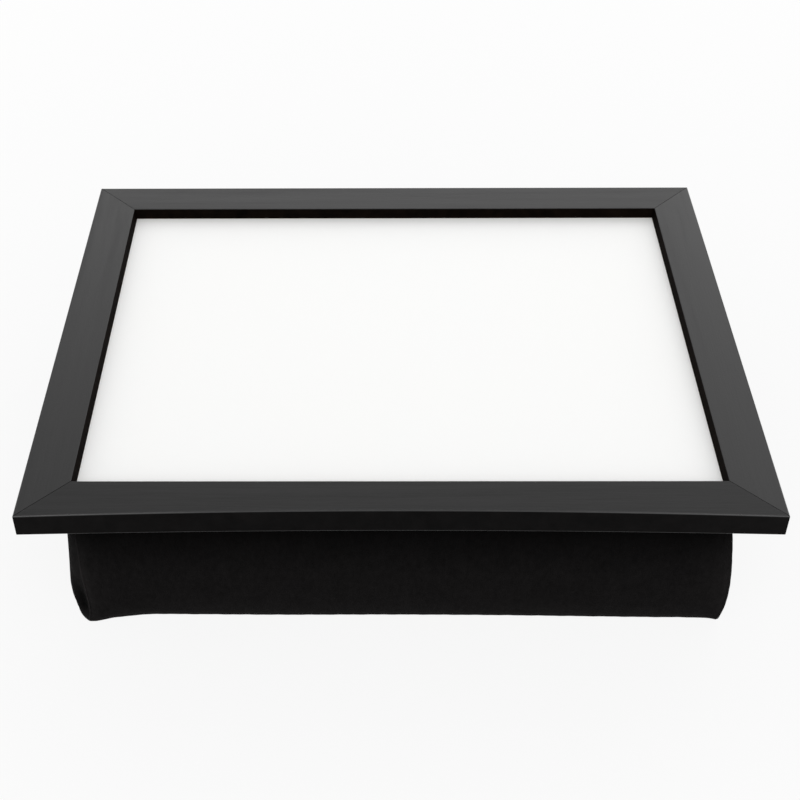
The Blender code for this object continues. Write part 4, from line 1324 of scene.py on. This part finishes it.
class TRAY_OT_zip(bpy.types.Operator):
    """Makes the spiral coils and the hem round the zip, and finishes its tapes and stops"""

    bl_idname = "tray.zip"
    bl_label = "Zip"

    def coil(self, node, sizes, side):
        """One spiral of drawn wire along a tape's edge."""
        low, high = corners_of(node)
        middle = (low + high) / 2
        reach_y = (high.y - low.y) / 2 - sizes.wire
        reach_z = (high.z - low.z) / 2 - sizes.wire
        turns = int((high.x - low.x - 2 * sizes.wire) / sizes.pitch)
        path = []
        for step in range(turns * TURN_STEPS + 1):
            angle = 2 * math.pi * step / TURN_STEPS
            across, out = math.cos(angle), math.sin(angle)
            square = (abs(across) ** 4 + abs(out) ** 4) ** (1 / 4)
            x = middle.x + (step / TURN_STEPS - turns / 2) * sizes.pitch + side * sizes.pitch / 4
            y, z = middle.y + reach_y * out / square, middle.z + reach_z * across / square
            path.append(Vector((x, y, z)))
        return tube(path, sizes.wire, 6)

    def hem(self, tray):
        """A folded edge round the slot."""
        points = []
        for out, rise in HEM_PROFILE:
            edge = (zip_reach() + HEM_GAP + out, HEM_HALF + out)
            ring = rounded_rectangle((-edge[0], -edge[1]), edge, HEM_CORNER + out)
            y = tray.cushion.seam_y + rise
            points += [Vector((point.x, y, tray.zip.height + point.y)) for point in ring]
        return points, ring_faces(len(HEM_PROFILE), len(ring), caps=False)

    def execute(self, context):
        tray = settings_of(context)
        colours, sizes = tray.colours, tray.zip
        tape = woven_tape("zip_tape", colours.tape, 0.0006, "Z")
        nylon = drawn_nylon("coil_nylon", colours.nylon, roughness=0.30)
        enamel = worn_enamel(colours.enamel, colours.steel)
        for name, side in (("upper", 1), ("lower", -1)):
            dress("zip_tape_" + name, tape)
            dress("zip_top_stop_" + name, enamel)
            spiral = self.coil("zip_coil_" + name, sizes, side)
            owner = ("cushion", "zip_nylon", "zip_coil_" + name)
            new_piece("spiral_coil_" + name, spiral, nylon, *owner)
        dress("zip_bottom_stop", enamel)
        cloth, thread = (bpy.data.materials[name] for name in ("brushed_cloth", "twisted_thread"))
        new_piece("zip_hem", self.hem(tray), cloth, "cushion", "cover_cloth")
        y = tray.cushion.seam_y + SEWN_RISE
        corners = [
            Vector((x * SEWN_REACH, y, sizes.height + z * SEWN_HALF))
            for x, z in ((-1, -1), (1, -1), (1, 1), (-1, 1))
        ]
        stitches = joined(stitches_along(corners, Vector((0, 1, 0)), sizes))
        new_piece("zip_stitching", stitches, thread, "cushion", "zip_tape")
        return {"FINISHED"}


class TRAY_OT_slider(bpy.types.Operator):
    """Finishes the zip's slider and its pull"""

    bl_idname = "tray.slider"
    bl_label = "Slider and pull"

    def execute(self, context):
        enamel = bpy.data.materials["worn_enamel"]
        dress("zip_slider", enamel)
        dress("zip_pull", enamel, bevel=0.00008)
        return {"FINISHED"}


def soft_sun(name, strength, angle, toward):
    """A soft lamp, so many degrees wide, that shines along a direction."""
    data = bpy.data.lights.new(name, "SUN")
    data.energy = strength
    data.angle = math.radians(angle)
    lamp = linked(name, data)
    lamp.rotation_mode = "QUATERNION"
    lamp.rotation_quaternion = Vector(toward).to_track_quat("-Z", "Y")


FLOOR_REACH, FLOOR_HEIGHT = 12.0, -0.0004
SHADOW_GLOW, SHADOW_START, SHADOW_END = 0.87, 0.28, 1.3
CAMERA_PLACE = (-0.014817, -0.768920, 0.710297)
CAMERA_YAW, CAMERA_PITCH, CAMERA_ROLL = -0.010970, 0.700466, -0.008130
CAMERA_SHIFT = (0.0460, -0.0222)
BACK_LAMP = (64, (-0.20, -0.86, -0.52))
FRONT_LAMP = (42, (0.0, 0.72, -0.90))


class TRAY_OT_stage(bpy.types.Operator):
    """Makes the floor, the soft light and the camera"""

    bl_idname = "tray.stage"
    bl_label = "Stage"

    def floor(self, colours):
        finish = new_finish("pale_floor")
        finish.surface(Base_Color=colours.floor, Roughness=0.9, Specular_IOR_Level=0.0)
        away = finish.node("VectorMath", {"operation": "LENGTH"}, {0: finish.place()}, "Value")
        clear = finish.between(away, SHADOW_START, SHADOW_END)
        self.glow(finish, SHADOW_GLOW + (1 - SHADOW_GLOW) * clear)
        corners = [
            (x * FLOOR_REACH, y * FLOOR_REACH, FLOOR_HEIGHT)
            for x, y in ((-1, -1), (1, -1), (1, 1), (-1, 1))
        ]
        mesh = mesh_from("pale_floor", corners, [(0, 1, 2, 3)], smooth=False)
        mesh.materials.append(finish.owner)
        linked("pale_floor", mesh)

    def seen(self, finish):
        """1 where the camera sees a surface or the sky, also by reflection or through glass."""
        kinds = ("Is Camera Ray", "Is Glossy Ray", "Is Transmission Ray")
        camera, glossy, clear = (finish.node("LightPath", {}, {}, kind) for kind in kinds)
        return finish.between(camera + glossy + clear, 0, 1)

    def glow(self, finish, share):
        """Lets the floor show as white paper under its own soft shadow."""
        white = finish.node("Emission", {}, {"Color": (1, 1, 1, 1), "Strength": 1})
        plain = Wire(finish, finish.tree.nodes["Principled BSDF"].outputs["BSDF"])
        mixed = finish.node("MixShader", {}, {0: share * self.seen(finish), 1: plain, 2: white})
        finish.fill(finish.tree.nodes["Material Output"], {"Surface": mixed})

    def sky(self, settings):
        """White down to the horizon, and darker overhead as a ceiling is."""
        world = bpy.data.worlds.new("pale_sky")
        bpy.context.scene.world = world
        finish = Finish(world)
        direction = finish.node("TexCoord", {}, {}, "Generated")
        height = finish.node("SeparateXYZ", {}, {"Vector": direction}, "Z")
        low = finish.between(height, settings.ceiling_top, settings.ceiling_foot)
        dome = settings.ceiling + (1 - settings.ceiling) * low
        ambient = settings.sky + (1 - settings.sky) * self.seen(finish)
        background = finish.tree.nodes["Background"]
        finish.fill(background, {"Color": (1, 1, 1, 1), "Strength": dome * ambient})

    def camera(self, lens):
        """A camera fitted to the photo: turned right, tipped down, and rolled a little."""
        right = Matrix.Rotation(-CAMERA_YAW, 4, "Z")
        down = Matrix.Rotation(math.pi / 2 - CAMERA_PITCH, 4, "X")
        roll = Matrix.Rotation(CAMERA_ROLL, 4, "Z")
        data = bpy.data.cameras.new("view")
        data.sensor_width = 36
        data.lens = lens
        data.shift_x, data.shift_y = CAMERA_SHIFT
        camera = linked("view", data)
        camera.matrix_world = Matrix.Translation(CAMERA_PLACE) @ right @ down @ roll
        bpy.context.scene.camera = camera

    def execute(self, context):
        tray = settings_of(context)
        self.floor(tray.colours)
        self.sky(tray.stage)
        soft_sun("back_lamp", tray.stage.key, *BACK_LAMP)
        soft_sun("front_lamp", tray.stage.fill, *FRONT_LAMP)
        self.camera(tray.stage.lens)
        context.scene.view_settings.view_transform = "Standard"
        return {"FINISHED"}


STEPS = (
    TRAY_OT_rails,
    TRAY_OT_boards,
    TRAY_OT_fixings,
    TRAY_OT_hook_and_loop,
    TRAY_OT_cushion,
    TRAY_OT_liner,
    TRAY_OT_zip,
    TRAY_OT_slider,
    TRAY_OT_stage,
)


class TRAY_PT_panel(bpy.types.Panel):
    """Lists the tray's pieces in the order in which they are made"""

    bl_idname = "TRAY_PT_panel"
    bl_label = "Breakfast tray"
    bl_space_type = "VIEW_3D"
    bl_region_type = "UI"
    bl_category = "Tray"

    def draw(self, context):
        for step in STEPS:
            self.layout.operator(step.bl_idname)


SETTINGS = (
    RailSettings,
    CushionSettings,
    ZipSettings,
    TapeSettings,
    ColourSettings,
    StageSettings,
    TraySettings,
)
CLASSES = (*SETTINGS, *STEPS, TRAY_PT_panel)


def register():
    for kind in CLASSES:
        bpy.utils.register_class(kind)
    everything = family("Breakfast tray", "Sizes and colours of the tray", TraySettings)
    bpy.types.Scene.breakfast_tray = everything


def unregister():
    del bpy.types.Scene.breakfast_tray
    for kind in reversed(CLASSES):
        bpy.utils.unregister_class(kind)


def main():
    register()
    for step in STEPS:
        category, name = step.bl_idname.split(".")
        getattr(getattr(bpy.ops, category), name)()


if __name__ == "__main__":
    main()
